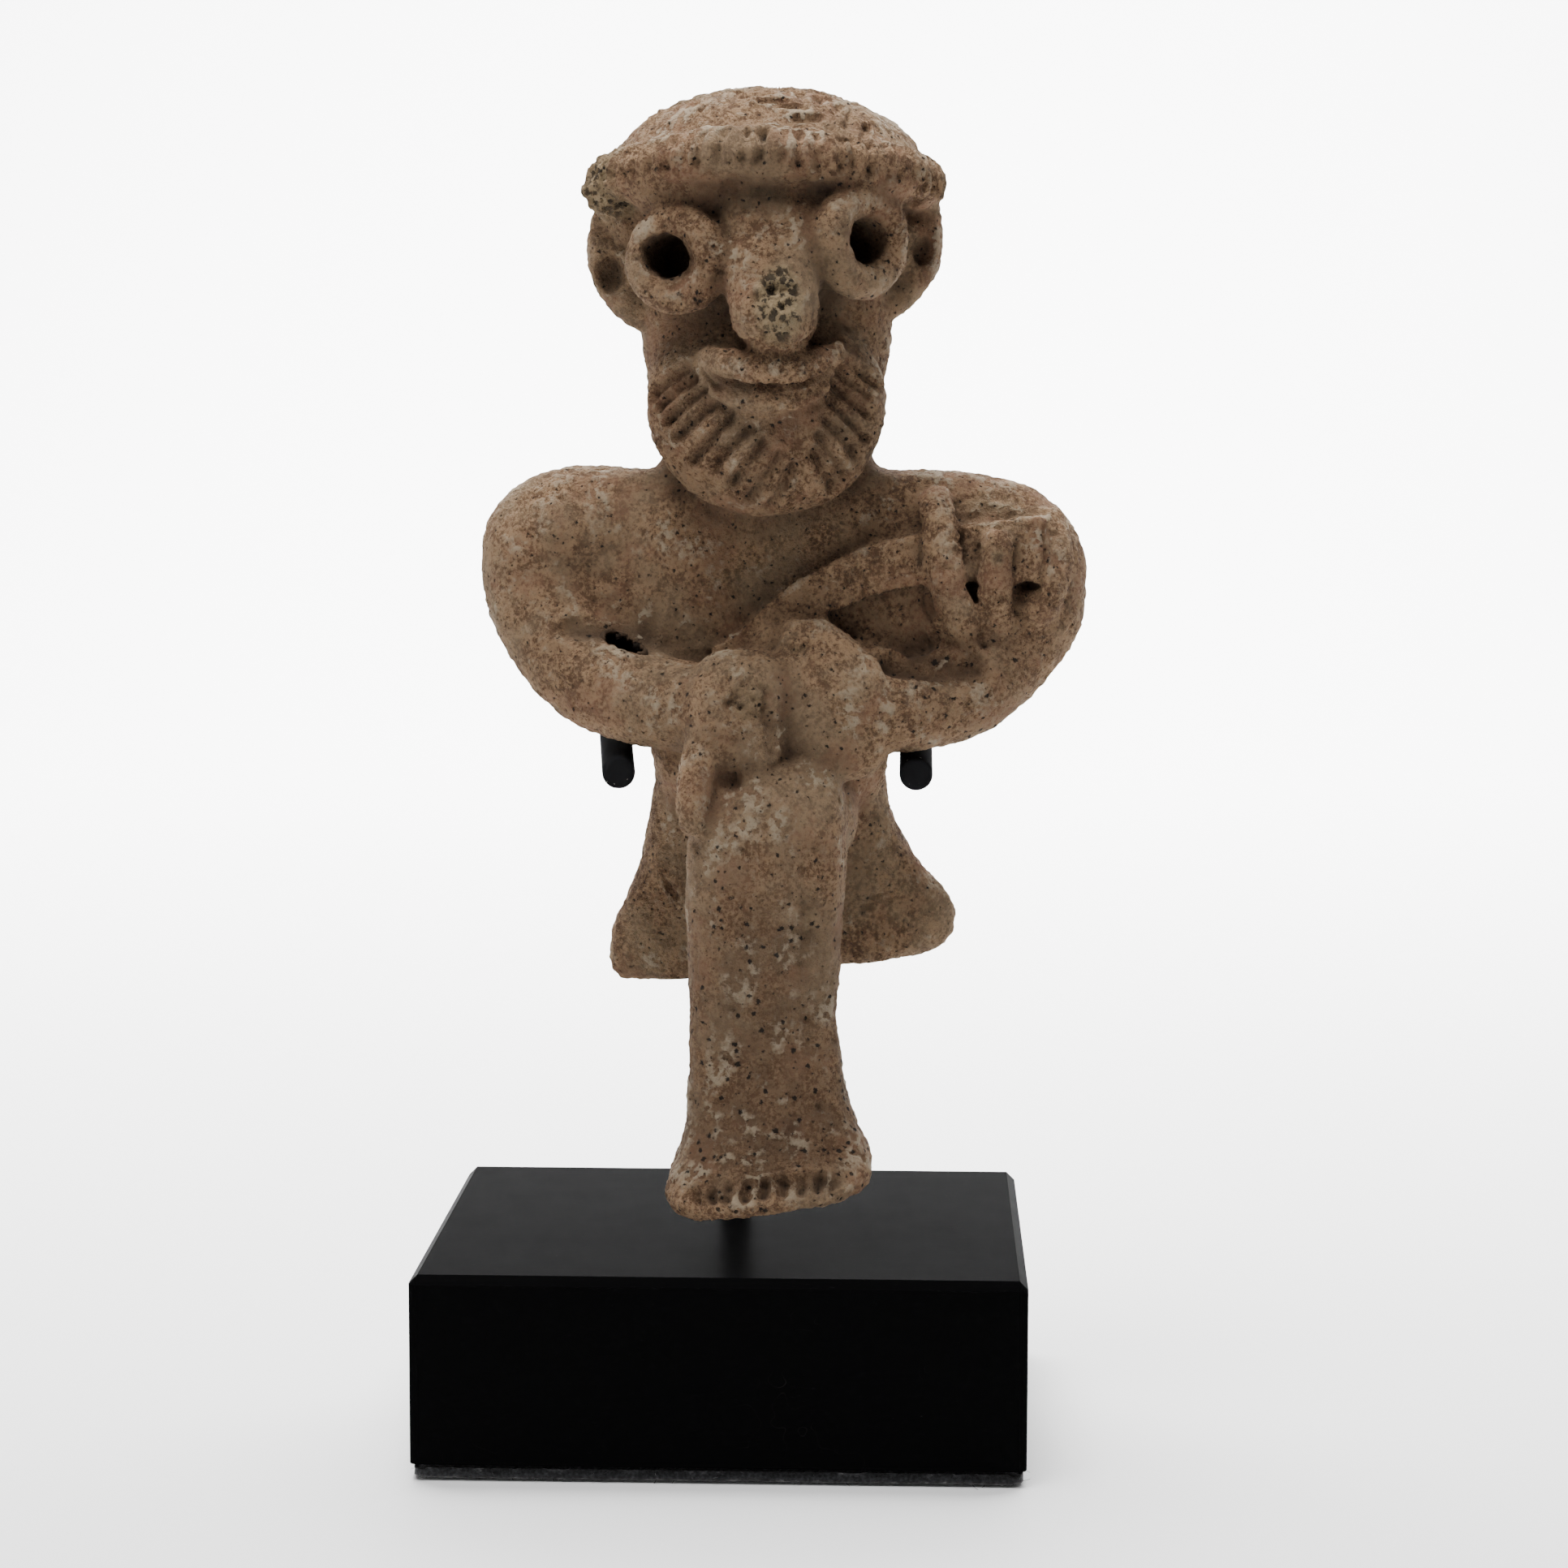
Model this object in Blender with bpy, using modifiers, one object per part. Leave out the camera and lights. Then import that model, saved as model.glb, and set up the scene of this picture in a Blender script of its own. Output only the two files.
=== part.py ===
"""A terracotta seated figure that carries an axe, held over its display block by a steel rod and fork.

The frame is metres, +Z up and -Y to the front. Its origin is the middle of the felt's underside.
"""

import math

import bmesh
import bpy
import numpy as np
from mathutils import Matrix, Vector
from mathutils.bvhtree import BVHTree

# Driving dimensions of the stand
BLOCK_WIDTH = 0.090
BLOCK_DEPTH = 0.075
BLOCK_HEIGHT = 0.028
BLOCK_CHAMFER = 0.0013
BLOCK_CORNER = 0.0012
FELT_THICKNESS = 0.0022
FELT_INSET = 0.0003
FELT_CORNER = 0.0024
ROD_DIAMETER = 0.005
ROD_END_BEVEL = 0.0004
SOCKET_DEPTH = 0.018
TOUCH_GAP = 0.0003

# Driving dimensions of the figure, and where it hangs over the block
FIGURE_HEIGHT = 0.1655
FIGURE_ASIDE = 0.0065
FIGURE_BACK = 0.004
SOLE_LIFT = 0.0078

# The figure keeps its proportions at any height: its forms are in clay units, 165.5 of them from
# the sole to the top of the cap, with the middle of the sole under the middle of the chest.
CLAY = FIGURE_HEIGHT / 165.5
BODY_GRAIN = 1.1
DETAIL_GRAIN = 0.75
FIGURE_TRIANGLES = 8700

# The fork's path round the figure, in clay units: the height of the waist that it goes round, how
# loosely, how far its tines reach to the front and where they start to bend. Its tines rise to the
# back, and its left one on the viewer's side spreads outwards there.
WAIST = (57, 68)
FORK_SLACK = 0.6
TINE_TIP = -18
TINE_BEND = 8
TINE_RISE = 0.12
TINE_SPREADS = (0.1, 0.0)
FORK_SQUARENESS = 0.4

ROD_RADIUS = ROD_DIAMETER / 2
BLOCK_BOTTOM = FELT_THICKNESS + TOUCH_GAP
BLOCK_TOP = BLOCK_BOTTOM + BLOCK_HEIGHT
SOLE = Vector((FIGURE_ASIDE, FIGURE_BACK, BLOCK_TOP + SOLE_LIFT))

# Each eye: the middle of its ring, its radius, how far it is turned outwards, its pupil's radius and
# how far the pupil is off the ring's middle
EYES = [
    ((-13.7, -18.2, 139.0), 8.1, -20, 3.5, (-1.6, 0, 0.6)),
    ((13.3, -16.8, 141.9), 8.7, 43, 3.6, (0.5, 0, -0.2)),
]
EYE_LIP = 2.7


def new_collection(name):
    collection = bpy.data.collections.new(name)
    bpy.context.scene.collection.children.link(collection)
    return collection


def file_under(obj, collection):
    for owner in list(obj.users_collection):
        owner.objects.unlink(obj)
    collection.objects.link(obj)


def material(name, colour, roughness, metallic=0.0):
    made = bpy.data.materials.new(name)
    made.use_nodes = True
    shader = made.node_tree.nodes["Principled BSDF"]
    shader.inputs["Base Color"].default_value = (*colour, 1.0)
    shader.inputs["Roughness"].default_value = roughness
    shader.inputs["Metallic"].default_value = metallic
    return made


def linked(name, data):
    obj = bpy.data.objects.new(name, data)
    bpy.context.scene.collection.objects.link(obj)
    return obj


def from_bmesh(name, bm):
    mesh = bpy.data.meshes.new(name)
    bm.to_mesh(mesh)
    bm.free()
    return linked(name, mesh)


def evaluated_mesh(obj):
    """The object's mesh with its modifiers applied and its place in its vertices."""
    bpy.context.view_layer.update()
    graph = bpy.context.evaluated_depsgraph_get()
    mesh = bpy.data.meshes.new_from_object(obj.evaluated_get(graph))
    mesh.transform(obj.matrix_world)
    return mesh


def joined(name, pieces):
    """One object from several, which are removed."""
    bm = bmesh.new()
    for piece in pieces:
        mesh = evaluated_mesh(piece)
        bm.from_mesh(mesh)
        bpy.data.meshes.remove(mesh)
        bpy.data.objects.remove(piece)
    bmesh.ops.remove_doubles(bm, verts=bm.verts, dist=1e-7)
    return from_bmesh(name, bm)


def baked(obj):
    """The same object with its modifiers applied."""
    mesh = evaluated_mesh(obj)
    obj.modifiers.clear()
    obj.data = mesh
    return obj


def clay(point):
    return Vector(point) * CLAY


def ball(centre, radii, lean=(0, 0, 0)):
    """A ball of clay pressed to three radii and leant by degrees about X, Y and Z."""
    bpy.ops.mesh.primitive_uv_sphere_add(segments=32, ring_count=20, radius=1.0, location=clay(centre))
    obj = bpy.context.object
    obj.scale = clay(radii)
    obj.rotation_euler = [math.radians(angle) for angle in lean]
    return obj


def roll(points, radii, round_ends=True, closed=False):
    """A rolled length of clay along points, with a radius at each."""
    curve = bpy.data.curves.new("roll", "CURVE")
    curve.dimensions = "3D"
    curve.bevel_depth = CLAY
    curve.bevel_resolution = 5
    curve.resolution_u = 8
    curve.use_fill_caps = True
    spline = curve.splines.new("NURBS")
    spline.points.add(len(points) - 1)
    for spot, point, radius in zip(spline.points, points, radii):
        spot.co = (*clay(point), 1.0)
        spot.radius = radius
    spline.order_u = min(4, len(points))
    spline.use_endpoint_u = not closed
    spline.use_cyclic_u = closed
    pieces = [linked("roll", curve)]
    if round_ends and not closed:
        pieces += [ball(points[end], [radii[end]] * 3) for end in (0, -1)]
    return pieces


def between(stations, place):
    """The station at a place along them, on a smooth curve through each of them."""
    last = len(stations) - 1
    at = min(int(place), last - 1)
    t = place - at
    near = [np.array(stations[min(max(at + k, 0), last)], float) for k in (-1, 0, 1, 2)]
    before, here, there, after = near
    return 0.5 * (
        2 * here
        + (there - before) * t
        + (2 * before - 5 * here + 4 * there - after) * t**2
        + (3 * here - before - 3 * there + after) * t**3
    )


def drawn(stations, squareness, slant=0.0, rings_between=5):
    """An upright form through stations of (height, x, y, half width, half depth).

    Its bottom may slant, rising by so much for each unit to +X, and the slant dies out at the top.
    """
    rings = (len(stations) - 1) * rings_between
    bm = bmesh.new()
    bmesh.ops.create_cone(bm, cap_ends=True, segments=40, radius1=1, radius2=1, depth=1)
    for ring in range(1, rings):
        everything = bm.verts[:] + bm.edges[:] + bm.faces[:]
        level = (0, 0, ring / rings - 0.5)
        bmesh.ops.bisect_plane(bm, geom=everything, plane_co=level, plane_no=(0, 0, 1))
    for vert in bm.verts:
        share = vert.co.z + 0.5
        height, x, y, half_width, half_depth = between(stations, round(share * rings) / rings_between)
        cosine, sine = Vector((vert.co.x, vert.co.y)).normalized()
        across = half_width * math.copysign(abs(cosine) ** (2 / squareness), cosine)
        along = half_depth * math.copysign(abs(sine) ** (2 / squareness), sine)
        vert.co = clay((x + across, y + along, height + slant * (1 - share) * across))
    return from_bmesh("drawn", bm)


def kneaded(obj, grain, strokes):
    """Fuses overlapping lumps into one skin and smooths the seams, as wet fingers do."""
    fuse = obj.modifiers.new("fuse", "REMESH")
    fuse.mode = "VOXEL"
    fuse.voxel_size = grain * CLAY
    soften = obj.modifiers.new("soften", "SMOOTH")
    soften.factor = 0.5
    soften.iterations = strokes
    return baked(obj)


def positions(mesh):
    points = np.empty(len(mesh.vertices) * 3)
    mesh.vertices.foreach_get("co", points)
    return points.reshape(-1, 3)


def without_crumbs(obj):
    """Drops the loose crumbs that the cutting left, so that only the biggest piece stays."""
    bm = bmesh.new()
    bm.from_mesh(obj.data)
    untouched = set(bm.verts)
    pieces = []
    while untouched:
        front = [untouched.pop()]
        piece = list(front)
        while front:
            vert = front.pop()
            fresh = [edge.other_vert(vert) for edge in vert.link_edges]
            fresh = [other for other in fresh if other in untouched]
            untouched.difference_update(fresh)
            front += fresh
            piece += fresh
        pieces.append(piece)
    for crumb in sorted(pieces, key=len)[:-1]:
        bmesh.ops.delete(bm, geom=crumb, context="VERTS")
    bm.to_mesh(obj.data)
    bm.free()


def pressed(obj, strokes):
    """Presses a tool into the clay along strokes of (points, half width, depth), snapped to the skin."""
    points = positions(obj.data)
    normals = np.empty(points.size)
    obj.data.vertex_normals.foreach_get("vector", normals)
    skin = BVHTree.FromObject(obj, bpy.context.evaluated_depsgraph_get())
    sunk = np.zeros(len(points))
    for path, half_width, depth in strokes:
        snapped = [np.array(skin.find_nearest(clay(point))[0]) for point in path]
        for start, end in zip(snapped, snapped[1:]):
            run = end - start
            share = np.clip((points - start) @ run / (run @ run), 0, 1)
            away = np.linalg.norm(points - start - share[:, None] * run, axis=1) / (half_width * CLAY)
            sunk = np.maximum(sunk, np.clip(1 - away**2, 0, 1) ** 1.5 * depth * CLAY)
    moved = points - normals.reshape(-1, 3) * sunk[:, None]
    obj.data.vertices.foreach_set("co", moved.ravel())
    obj.data.update()


def torso_and_arms():
    """The flat chest, the arms bent round to the hands, and the waist."""
    chest = drawn(
        [
            (57, -0.5, 1, 14, 9),
            (61, -0.5, 0.5, 17.6, 11),
            (67, -0.5, 0, 18.6, 11.4),
            (72, 0, 0, 24, 10.6),
            (80, 0.5, 0, 34, 10.4),
            (90, 0.5, 0, 38, 10.2),
            (99, 0, 0, 35, 10.2),
            (104, -1, 0, 32, 9),
            (107.8, -1, 0, 28, 6.5),
        ],
        squareness=3.4,
    )
    right = [
        (-22, 0, 98.4),
        (-35.8, 0, 100.8),
        (-36.6, -1.4, 91),
        (-32.8, -4, 83),
        (-27.2, -8.6, 76.8),
        (-19, -13.6, 73.4),
        (-9, -18, 72.6),
    ]
    left = [
        (20, 0, 98.4),
        (36, 0, 99.6),
        (40, -1.4, 91),
        (36.4, -4, 84),
        (30.4, -9, 76.2),
        (22.6, -13.6, 72.4),
        (13, -17, 72.8),
    ]
    return [
        chest,
        *roll(right, [9.6, 9.8, 9.0, 8.8, 8.2, 7.2, 6.6]),
        *roll(left, [9.6, 9.4, 9.4, 9.3, 8.2, 6.7, 7.0]),
    ]


def legs_and_seat():
    """The two legs pressed into one slab that bends at the knee, and the flared slab behind it."""
    shin = drawn(
        [
            (0.2, 0.3, -26.5, 12, 9.5),
            (2.2, 0.5, -27, 15.2, 11.4),
            (6, 0.5, -25.5, 15.2, 10),
            (10, 0.4, -23.6, 13.2, 7.8),
            (16, -0.2, -22.6, 12, 7),
            (26, -0.7, -22.4, 11, 7.2),
            (40, -0.5, -22.6, 11.4, 7.8),
            (50, -0.3, -22.8, 11.8, 8.2),
            (58, 0.2, -21.8, 11, 8.4),
            (62.6, 0.8, -20.4, 10, 7.4),
            (66, 1.6, -18.6, 7.6, 5.6),
        ],
        squareness=3.0,
        slant=0.13,
    )
    seat = drawn(
        [
            (30.4, -0.4, 5.2, 23.8, 5.2),
            (32.2, 0.5, 5, 26.4, 6.4),
            (36, 1.1, 4.8, 27.2, 7.0),
            (39.8, 1.3, 4.6, 26.2, 7.4),
            (46.4, 0.6, 4, 22, 8),
            (53, -0.4, 3, 19.4, 8.8),
            (61, -0.6, 2, 17.6, 9.6),
            (66, -0.6, 1, 16, 9.6),
        ],
        squareness=2.6,
        slant=0.1,
    )
    lap = roll([(0, -20, 55.6), (0, -12, 56), (0, 0, 58)], [8, 8.5, 9])
    return [shin, seat, *lap, *(ball((side * 6, -11, 56), (7, 14, 7.4)) for side in (-1, 1))]


def head():
    """The head on its neck, and the dome of the cap, which is half a ball."""
    skull = drawn(
        [
            (100, -1, 1, 16, 9),
            (107, -1, 0, 16.6, 9.5),
            (112, -1, -1, 15.8, 10),
            (118, -1.2, -2, 17.4, 11.6),
            (127, -1.2, -2.4, 18.8, 12.8),
            (138, -1, -3, 18.6, 13.4),
            (148, -1.2, -3, 20, 13.8),
            (154, -1.5, -3, 18, 13),
        ],
        squareness=2.3,
    )
    dome = []
    for turn in np.radians([0, 15, 30, 45, 60, 72, 82, 89]):
        rise, reach = math.sin(turn), math.cos(turn)
        dome.append((150.2 + 15 * rise, -1, -2.5, 24.6 * reach, 20 * reach))
    brow = ball((-10, -12, 149), (12, 8, 4.6))
    temple = ball((-21.4, -4, 146.6), (4.6, 5.4, 5))
    return [skull, drawn(dome, squareness=2), brow, temple]


def beard_nose_and_lips():
    nose = drawn(
        [
            (126, 0.9, -21, 2.6, 4.2),
            (127.2, 0.8, -21.4, 4.6, 6.4),
            (130, 0.6, -21, 6.1, 8.0),
            (134.4, 0.4, -19.6, 6.7, 8.0),
            (140, 0.2, -17.6, 6.8, 6.8),
            (145, 0.1, -16.2, 8.0, 5.6),
            (151, 0, -15, 9.8, 4.4),
        ],
        squareness=2.6,
    )
    upper_lip = [
        (-8.8, -18.6, 124.6),
        (-5.4, -22.2, 123.3),
        (0.4, -24.2, 122.7),
        (6, -22.2, 123.5),
        (9.4, -18.6, 125),
    ]
    lower_lip = [
        (-8.4, -18.4, 120.4),
        (-5, -21.6, 118.6),
        (0.4, -23, 117.9),
        (5.4, -21.6, 118.8),
        (8.2, -18.4, 120.8),
    ]
    return [
        nose,
        ball((-0.9, -10.6, 118), (17.9, 10.6, 16.8), (-7, 0, 0)),
        *roll(upper_lip, [2.0, 2.6, 2.9, 2.6, 2.0]),
        *roll(lower_lip, [1.5, 2.1, 2.2, 2.1, 1.5]),
    ]


def ears():
    """A loop of clay round a hollow, behind each eye."""
    right = [(-25.2, -1, 145.4), (-26.4, -2, 140), (-24.6, -3, 134), (-19.8, -4, 131.4)]
    left = [(22.2, -1, 148), (23.4, -2, 142), (21.6, -3, 136), (17, -4, 133)]
    thickness = [2.6, 3.0, 3.0, 2.6]
    return [
        *roll(right, thickness),
        *roll(left, thickness),
        ball((-21.6, -3, 138.6), (4.4, 3.4, 6.4)),
        ball((18.6, -3, 140.6), (4.4, 3.4, 6.4)),
    ]


def outwards(degrees):
    """The way an eye faces: straight to the front at 0 degrees."""
    return Vector((math.sin(math.radians(degrees)), -math.cos(math.radians(degrees)), 0))


def eye(centre, radius, turned):
    """A thick ring of clay pressed on over a short round backing."""
    facing = outwards(turned)
    bpy.ops.mesh.primitive_torus_add(
        major_radius=(radius - EYE_LIP) * CLAY,
        minor_radius=EYE_LIP * CLAY,
        major_segments=40,
        minor_segments=16,
        location=clay(centre),
        rotation=facing.to_track_quat("Z", "Y").to_euler(),
    )
    middle = Vector(centre)
    backing = roll([middle - facing * 6, middle], [radius - 0.7, radius - 1.2], round_ends=False)
    return [bpy.context.object, *backing]


def rim_point(degrees, out=0.0, up=0.0):
    """A point by the middle of the cap's rim; 0 degrees is the front, and the rim droops at the sides."""
    turn = math.radians(degrees)
    sine, cosine = math.sin(turn), math.cos(turn)
    return (-1.3 + (23.2 + out) * sine, -2.5 - (17.8 + out) * cosine, 154.2 - 3.4 * sine**2 + up)


def cap_rim():
    """The thick roll round the cap's edge, and the torn lump at its right end."""
    around = range(0, 360, 15)
    ring = roll([rim_point(degrees) for degrees in around], [4.1] * len(around), closed=True)
    return [*ring, ball((-24.4, -6, 149.4), (3.9, 5, 3.8))]


def hands():
    """Two fists, the right one in front, and a finger that hangs over the knee."""
    right_fist = drawn(
        [
            (62.6, -4.2, -20.4, 5.4, 4.4),
            (65.4, -4.6, -20.8, 7.4, 5.8),
            (74, -4.8, -21, 7.6, 6),
            (79.6, -4.2, -19.4, 6.2, 5),
            (82, -4, -18, 3.6, 3),
        ],
        squareness=2.8,
    )
    left_fist = drawn(
        [
            (62.8, 9.4, -17, 5.4, 4),
            (66.6, 9.6, -18, 8, 5.4),
            (76, 9, -18.2, 9, 5.6),
            (82.4, 7.4, -16.8, 6.4, 4.6),
            (86.4, 5.2, -15.4, 3, 3),
        ],
        squareness=2.8,
    )
    finger = roll([(-9.4, -24.2, 66.5), (-10.6, -27.2, 62), (-10.8, -28.6, 57.4)], [3.2, 3.0, 2.3])
    knuckle = ball((1, -13.6, 81.6), (4.6, 3.4, 4.2))
    hand_back = ball((15.5, -13.6, 78.6), (6.8, 4.0, 3.6), (0, 18, 0))
    return [right_fist, left_fist, *finger, knuckle, hand_back]


def strap(stations, thickness, lean=0.0):
    """A flat strip of clay through stations of (x, face, height, half width), its top edge leant back."""
    bm = bmesh.new()
    bmesh.ops.create_grid(bm, x_segments=32, y_segments=4, size=1)
    for vert in bm.verts:
        along, aside = (vert.co.x + 1) / 2 * (len(stations) - 1), vert.co.y
        x, face, height, half_width = between(stations, along)
        vert.co = clay((x, face + lean * aside, height + aside * half_width))
    made = from_bmesh("strap", bm)
    thicken = made.modifiers.new("thicken", "SOLIDIFY")
    thicken.thickness = thickness * CLAY
    thicken.offset = -1
    return made


def axe():
    """The flat haft, the three tangs that grip it and the flat blade below them."""
    haft = [
        (-9, -13.6, 79.6, 1.9),
        (-4.5, -13.6, 82.4, 2.6),
        (1.3, -13.6, 86.7, 3.3),
        (9, -13.6, 90.8, 3.9),
        (18.5, -13.6, 94.2, 3.9),
        (28, -13.6, 96, 4.2),
        (41, -13.4, 96.8, 5.0),
    ]
    blade = [
        (8, -11.6, 86.6, 1.6),
        (13, -12, 86, 3.2),
        (19, -12.2, 86.3, 5.1),
        (26, -12.2, 87, 6),
        (33, -12.2, 87.6, 5.4),
        (40, -11.4, 88.6, 3.6),
    ]
    first = [(24.6, -10, 103.4, 2.6), (25, -14.6, 100, 2.9), (25.6, -15.2, 92.4, 2.8), (28.6, -13.4, 85.4, 2.9)]
    second = [(33.6, -14.2, 97.6, 2.2), (33.4, -15, 94, 2.5), (33, -14.4, 90.6, 2.3), (34, -12.8, 86, 2.8)]
    third = [(41.8, -6.4, 100.6, 2.4), (43.2, -9.8, 96.4, 2.6), (43, -11.4, 91, 2.6), (39.6, -11.8, 87, 2.4)]
    tangs = [first, second, third]
    lumps = [strap(haft, 5, lean=0.4), strap(blade, 4)]
    lumps += roll([(26, -11, 84.6), (34, -10.8, 83.8), (40, -10, 86.4)], [3, 3.2, 2.4])
    for tang in tangs:
        lumps += roll([stop[:3] for stop in tang], [stop[3] for stop in tang])
    return lumps


def holes():
    """What is poked deep into the clay: the pupils, the ears, the crook of the arm and the axe's gaps."""
    bored = []
    for centre, _, turned, pupil, aside in EYES:
        middle, facing = Vector(centre) + Vector(aside), outwards(turned)
        bored += roll([middle + facing * 5, middle - facing * 9], [pupil, pupil * 0.9])
    return bored + [
        ball((-24.8, -6, 137.4), (2.5, 4, 3.1)),
        ball((22.4, -5.6, 141.2), (1.8, 2.7, 3)),
        ball((-21.8, -9.6, 81.4), (4.0, 5.4, 1.2), (0, 26, 0)),
        ball((29.8, -13.4, 91.2), (1.9, 3.6, 0.9)),
        ball((30.2, -13.4, 89.8), (0.9, 3.6, 1.9), (0, -18, 0)),
        ball((38.2, -12.4, 91.2), (2.4, 3.4, 0.7)),
    ]


def dips():
    """Soft thumb dips: one by the crook of the right arm, and one below the blade."""
    crook = [(-30, -11, 83.2), (-25, -12, 83), (-19, -14, 80.2)]
    below_blade = [(18.6, -18, 79.9), (24, -18, 79.3), (29.5, -16, 78.6)]
    return [(crook, 2.2, 1.0), (below_blade, 2.8, 1.6)]


def fan(count, starts, angles, length):
    """Beard strokes side by side, from a straight row of starts, at angles that turn along the row."""
    strokes = []
    for share in np.linspace(0, 1, count):
        x, z = (1 - share) * np.array(starts[0]) + share * np.array(starts[1])
        turn = math.radians((1 - share) * angles[0] + share * angles[1])
        end = (x + length * math.cos(turn), -15, z + length * math.sin(turn))
        strokes.append(([(x, -19, z), end], 1.2, 1.1))
    return strokes


def beard_strokes():
    """Tool marks that slant away from the mouth, nine on the right of the face and seven on the left."""
    right = fan(9, ((-13.6, 123.6), (3.4, 109.4)), (221, 233), 6)
    left = fan(7, ((11, 125.6), (6.4, 111.2)), (-46, -60), 5.8)
    return right + left


def cap_strokes():
    """Upright notches all round the rim, and a feathered ridge that crosses the dome."""
    strokes = [
        ([rim_point(degrees, 4, -2), rim_point(degrees, 3, 3.4)], 0.9, 0.7) for degrees in range(0, 360, 7)
    ]
    ridge_start, ridge_end = Vector((-14, 6, 166)), Vector((13, -20, 158))
    along = (ridge_end - ridge_start).normalized()
    aside = along.cross(Vector((0, 0, 1))).normalized()
    for share in np.linspace(0, 1, 12):
        root = ridge_start.lerp(ridge_end, share)
        for side in (-1, 1):
            near, far = root + side * aside * 1.2, root + side * aside * 4.4 - along * 2
            strokes.append(([near, far], 0.8, 0.6))
    return strokes


def toe_strokes():
    """The slits between the toes."""
    slits = [-11.3 + 2.8 * toe for toe in range(9)]
    return [([(x, -39, 5.0 + 0.13 * x), (x, -37, 6.8 + 0.13 * x)], 1.05, 1.1) for x in slits]


def mouth_strokes():
    """The curved line between the lips, and the one below them."""
    slit = [(-8.6, -21, 122.6), (-5, -23.5, 120.8), (0.4, -25, 120), (5.6, -23.5, 121), (9, -21, 123)]
    below = [(-9.6, -19, 119), (-5.6, -22, 116.6), (0.4, -24, 115.4), (6, -22, 116.8), (9.2, -19, 119.4)]
    return [(slit, 0.7, 1.1), (below, 1.0, 0.6)]


def make_figure():
    """The whole figure is one lump of fired clay, so all its forms end in one skin."""
    body = kneaded(joined("body", torso_and_arms() + legs_and_seat() + head()), BODY_GRAIN, 12)
    stuck_on = beard_nose_and_lips() + ears() + cap_rim() + hands() + axe()
    for centre, radius, turned, _, _ in EYES:
        stuck_on += eye(centre, radius, turned)
    figure = kneaded(joined("figure", [body, *stuck_on]), DETAIL_GRAIN, 3)
    bore = kneaded(joined("bore", holes()), DETAIL_GRAIN, 1)
    cut = figure.modifiers.new("cut", "BOOLEAN")
    cut.operation = "DIFFERENCE"
    cut.object = bore
    without_crumbs(kneaded(baked(figure), DETAIL_GRAIN, 1))
    bpy.data.objects.remove(bore)
    pressed(figure, dips() + mouth_strokes() + beard_strokes() + cap_strokes() + toe_strokes())
    figure.data.calc_loop_triangles()
    thin = figure.modifiers.new("thin", "DECIMATE")
    thin.ratio = FIGURE_TRIANGLES / len(figure.data.loop_triangles)
    baked(figure)
    figure.data.transform(Matrix.Translation(SOLE))
    return figure


def bevelled(obj, edges_at, width, segments):
    """Bevels the edges that a rule picks, by how high their two ends are."""
    bm = bmesh.new()
    bm.from_mesh(obj.data)
    chosen = [edge for edge in bm.edges if edges_at(*sorted(vert.co.z for vert in edge.verts))]
    bmesh.ops.bevel(bm, geom=chosen, offset=width, segments=segments, profile=0.5, affect="EDGES")
    bm.to_mesh(obj.data)
    bm.free()


def box(name, width, depth, height, bottom):
    bpy.ops.mesh.primitive_cube_add(size=1)
    obj = bpy.context.object
    obj.name = name
    raised = Matrix.Translation((0, 0, bottom + height / 2))
    obj.data.transform(raised @ Matrix.Diagonal((width, depth, height, 1)))
    return obj


def make_block(post_at, cutters):
    """The painted block, chamfered all round its top, with the blind socket for the post."""
    block = box("display_block", BLOCK_WIDTH, BLOCK_DEPTH, BLOCK_HEIGHT, BLOCK_BOTTOM)
    middle = BLOCK_BOTTOM + BLOCK_HEIGHT / 2
    bevelled(block, lambda low, high: low < middle < high, BLOCK_CORNER, 3)
    bevelled(block, lambda low, high: low > middle, BLOCK_CHAMFER, 1)
    bpy.ops.mesh.primitive_cylinder_add(
        vertices=32,
        radius=ROD_RADIUS + TOUCH_GAP,
        depth=2 * SOCKET_DEPTH,
        location=(*post_at, BLOCK_TOP),
    )
    socket = bpy.context.object
    socket.name = "socket_cutter"
    socket.hide_render = True
    socket.display_type = "WIRE"
    file_under(socket, cutters)
    cut = block.modifiers.new("socket", "BOOLEAN")
    cut.operation = "DIFFERENCE"
    cut.object = socket
    return block


def make_felt():
    """The felt glued under the block, with softly rounded corners."""
    felt = box("felt_pad", BLOCK_WIDTH - 2 * FELT_INSET, BLOCK_DEPTH - 2 * FELT_INSET, FELT_THICKNESS, 0)
    bevelled(felt, lambda low, high: high - low > FELT_THICKNESS / 2, FELT_CORNER, 4)
    return felt


def extent(figure, axis, low, high):
    """How far the figure reaches each way along an axis, within a box."""
    points = positions(figure.data)
    inside = points[np.all((points > low) & (points < high), axis=1)]
    return inside[:, axis].min(), inside[:, axis].max()


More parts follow.
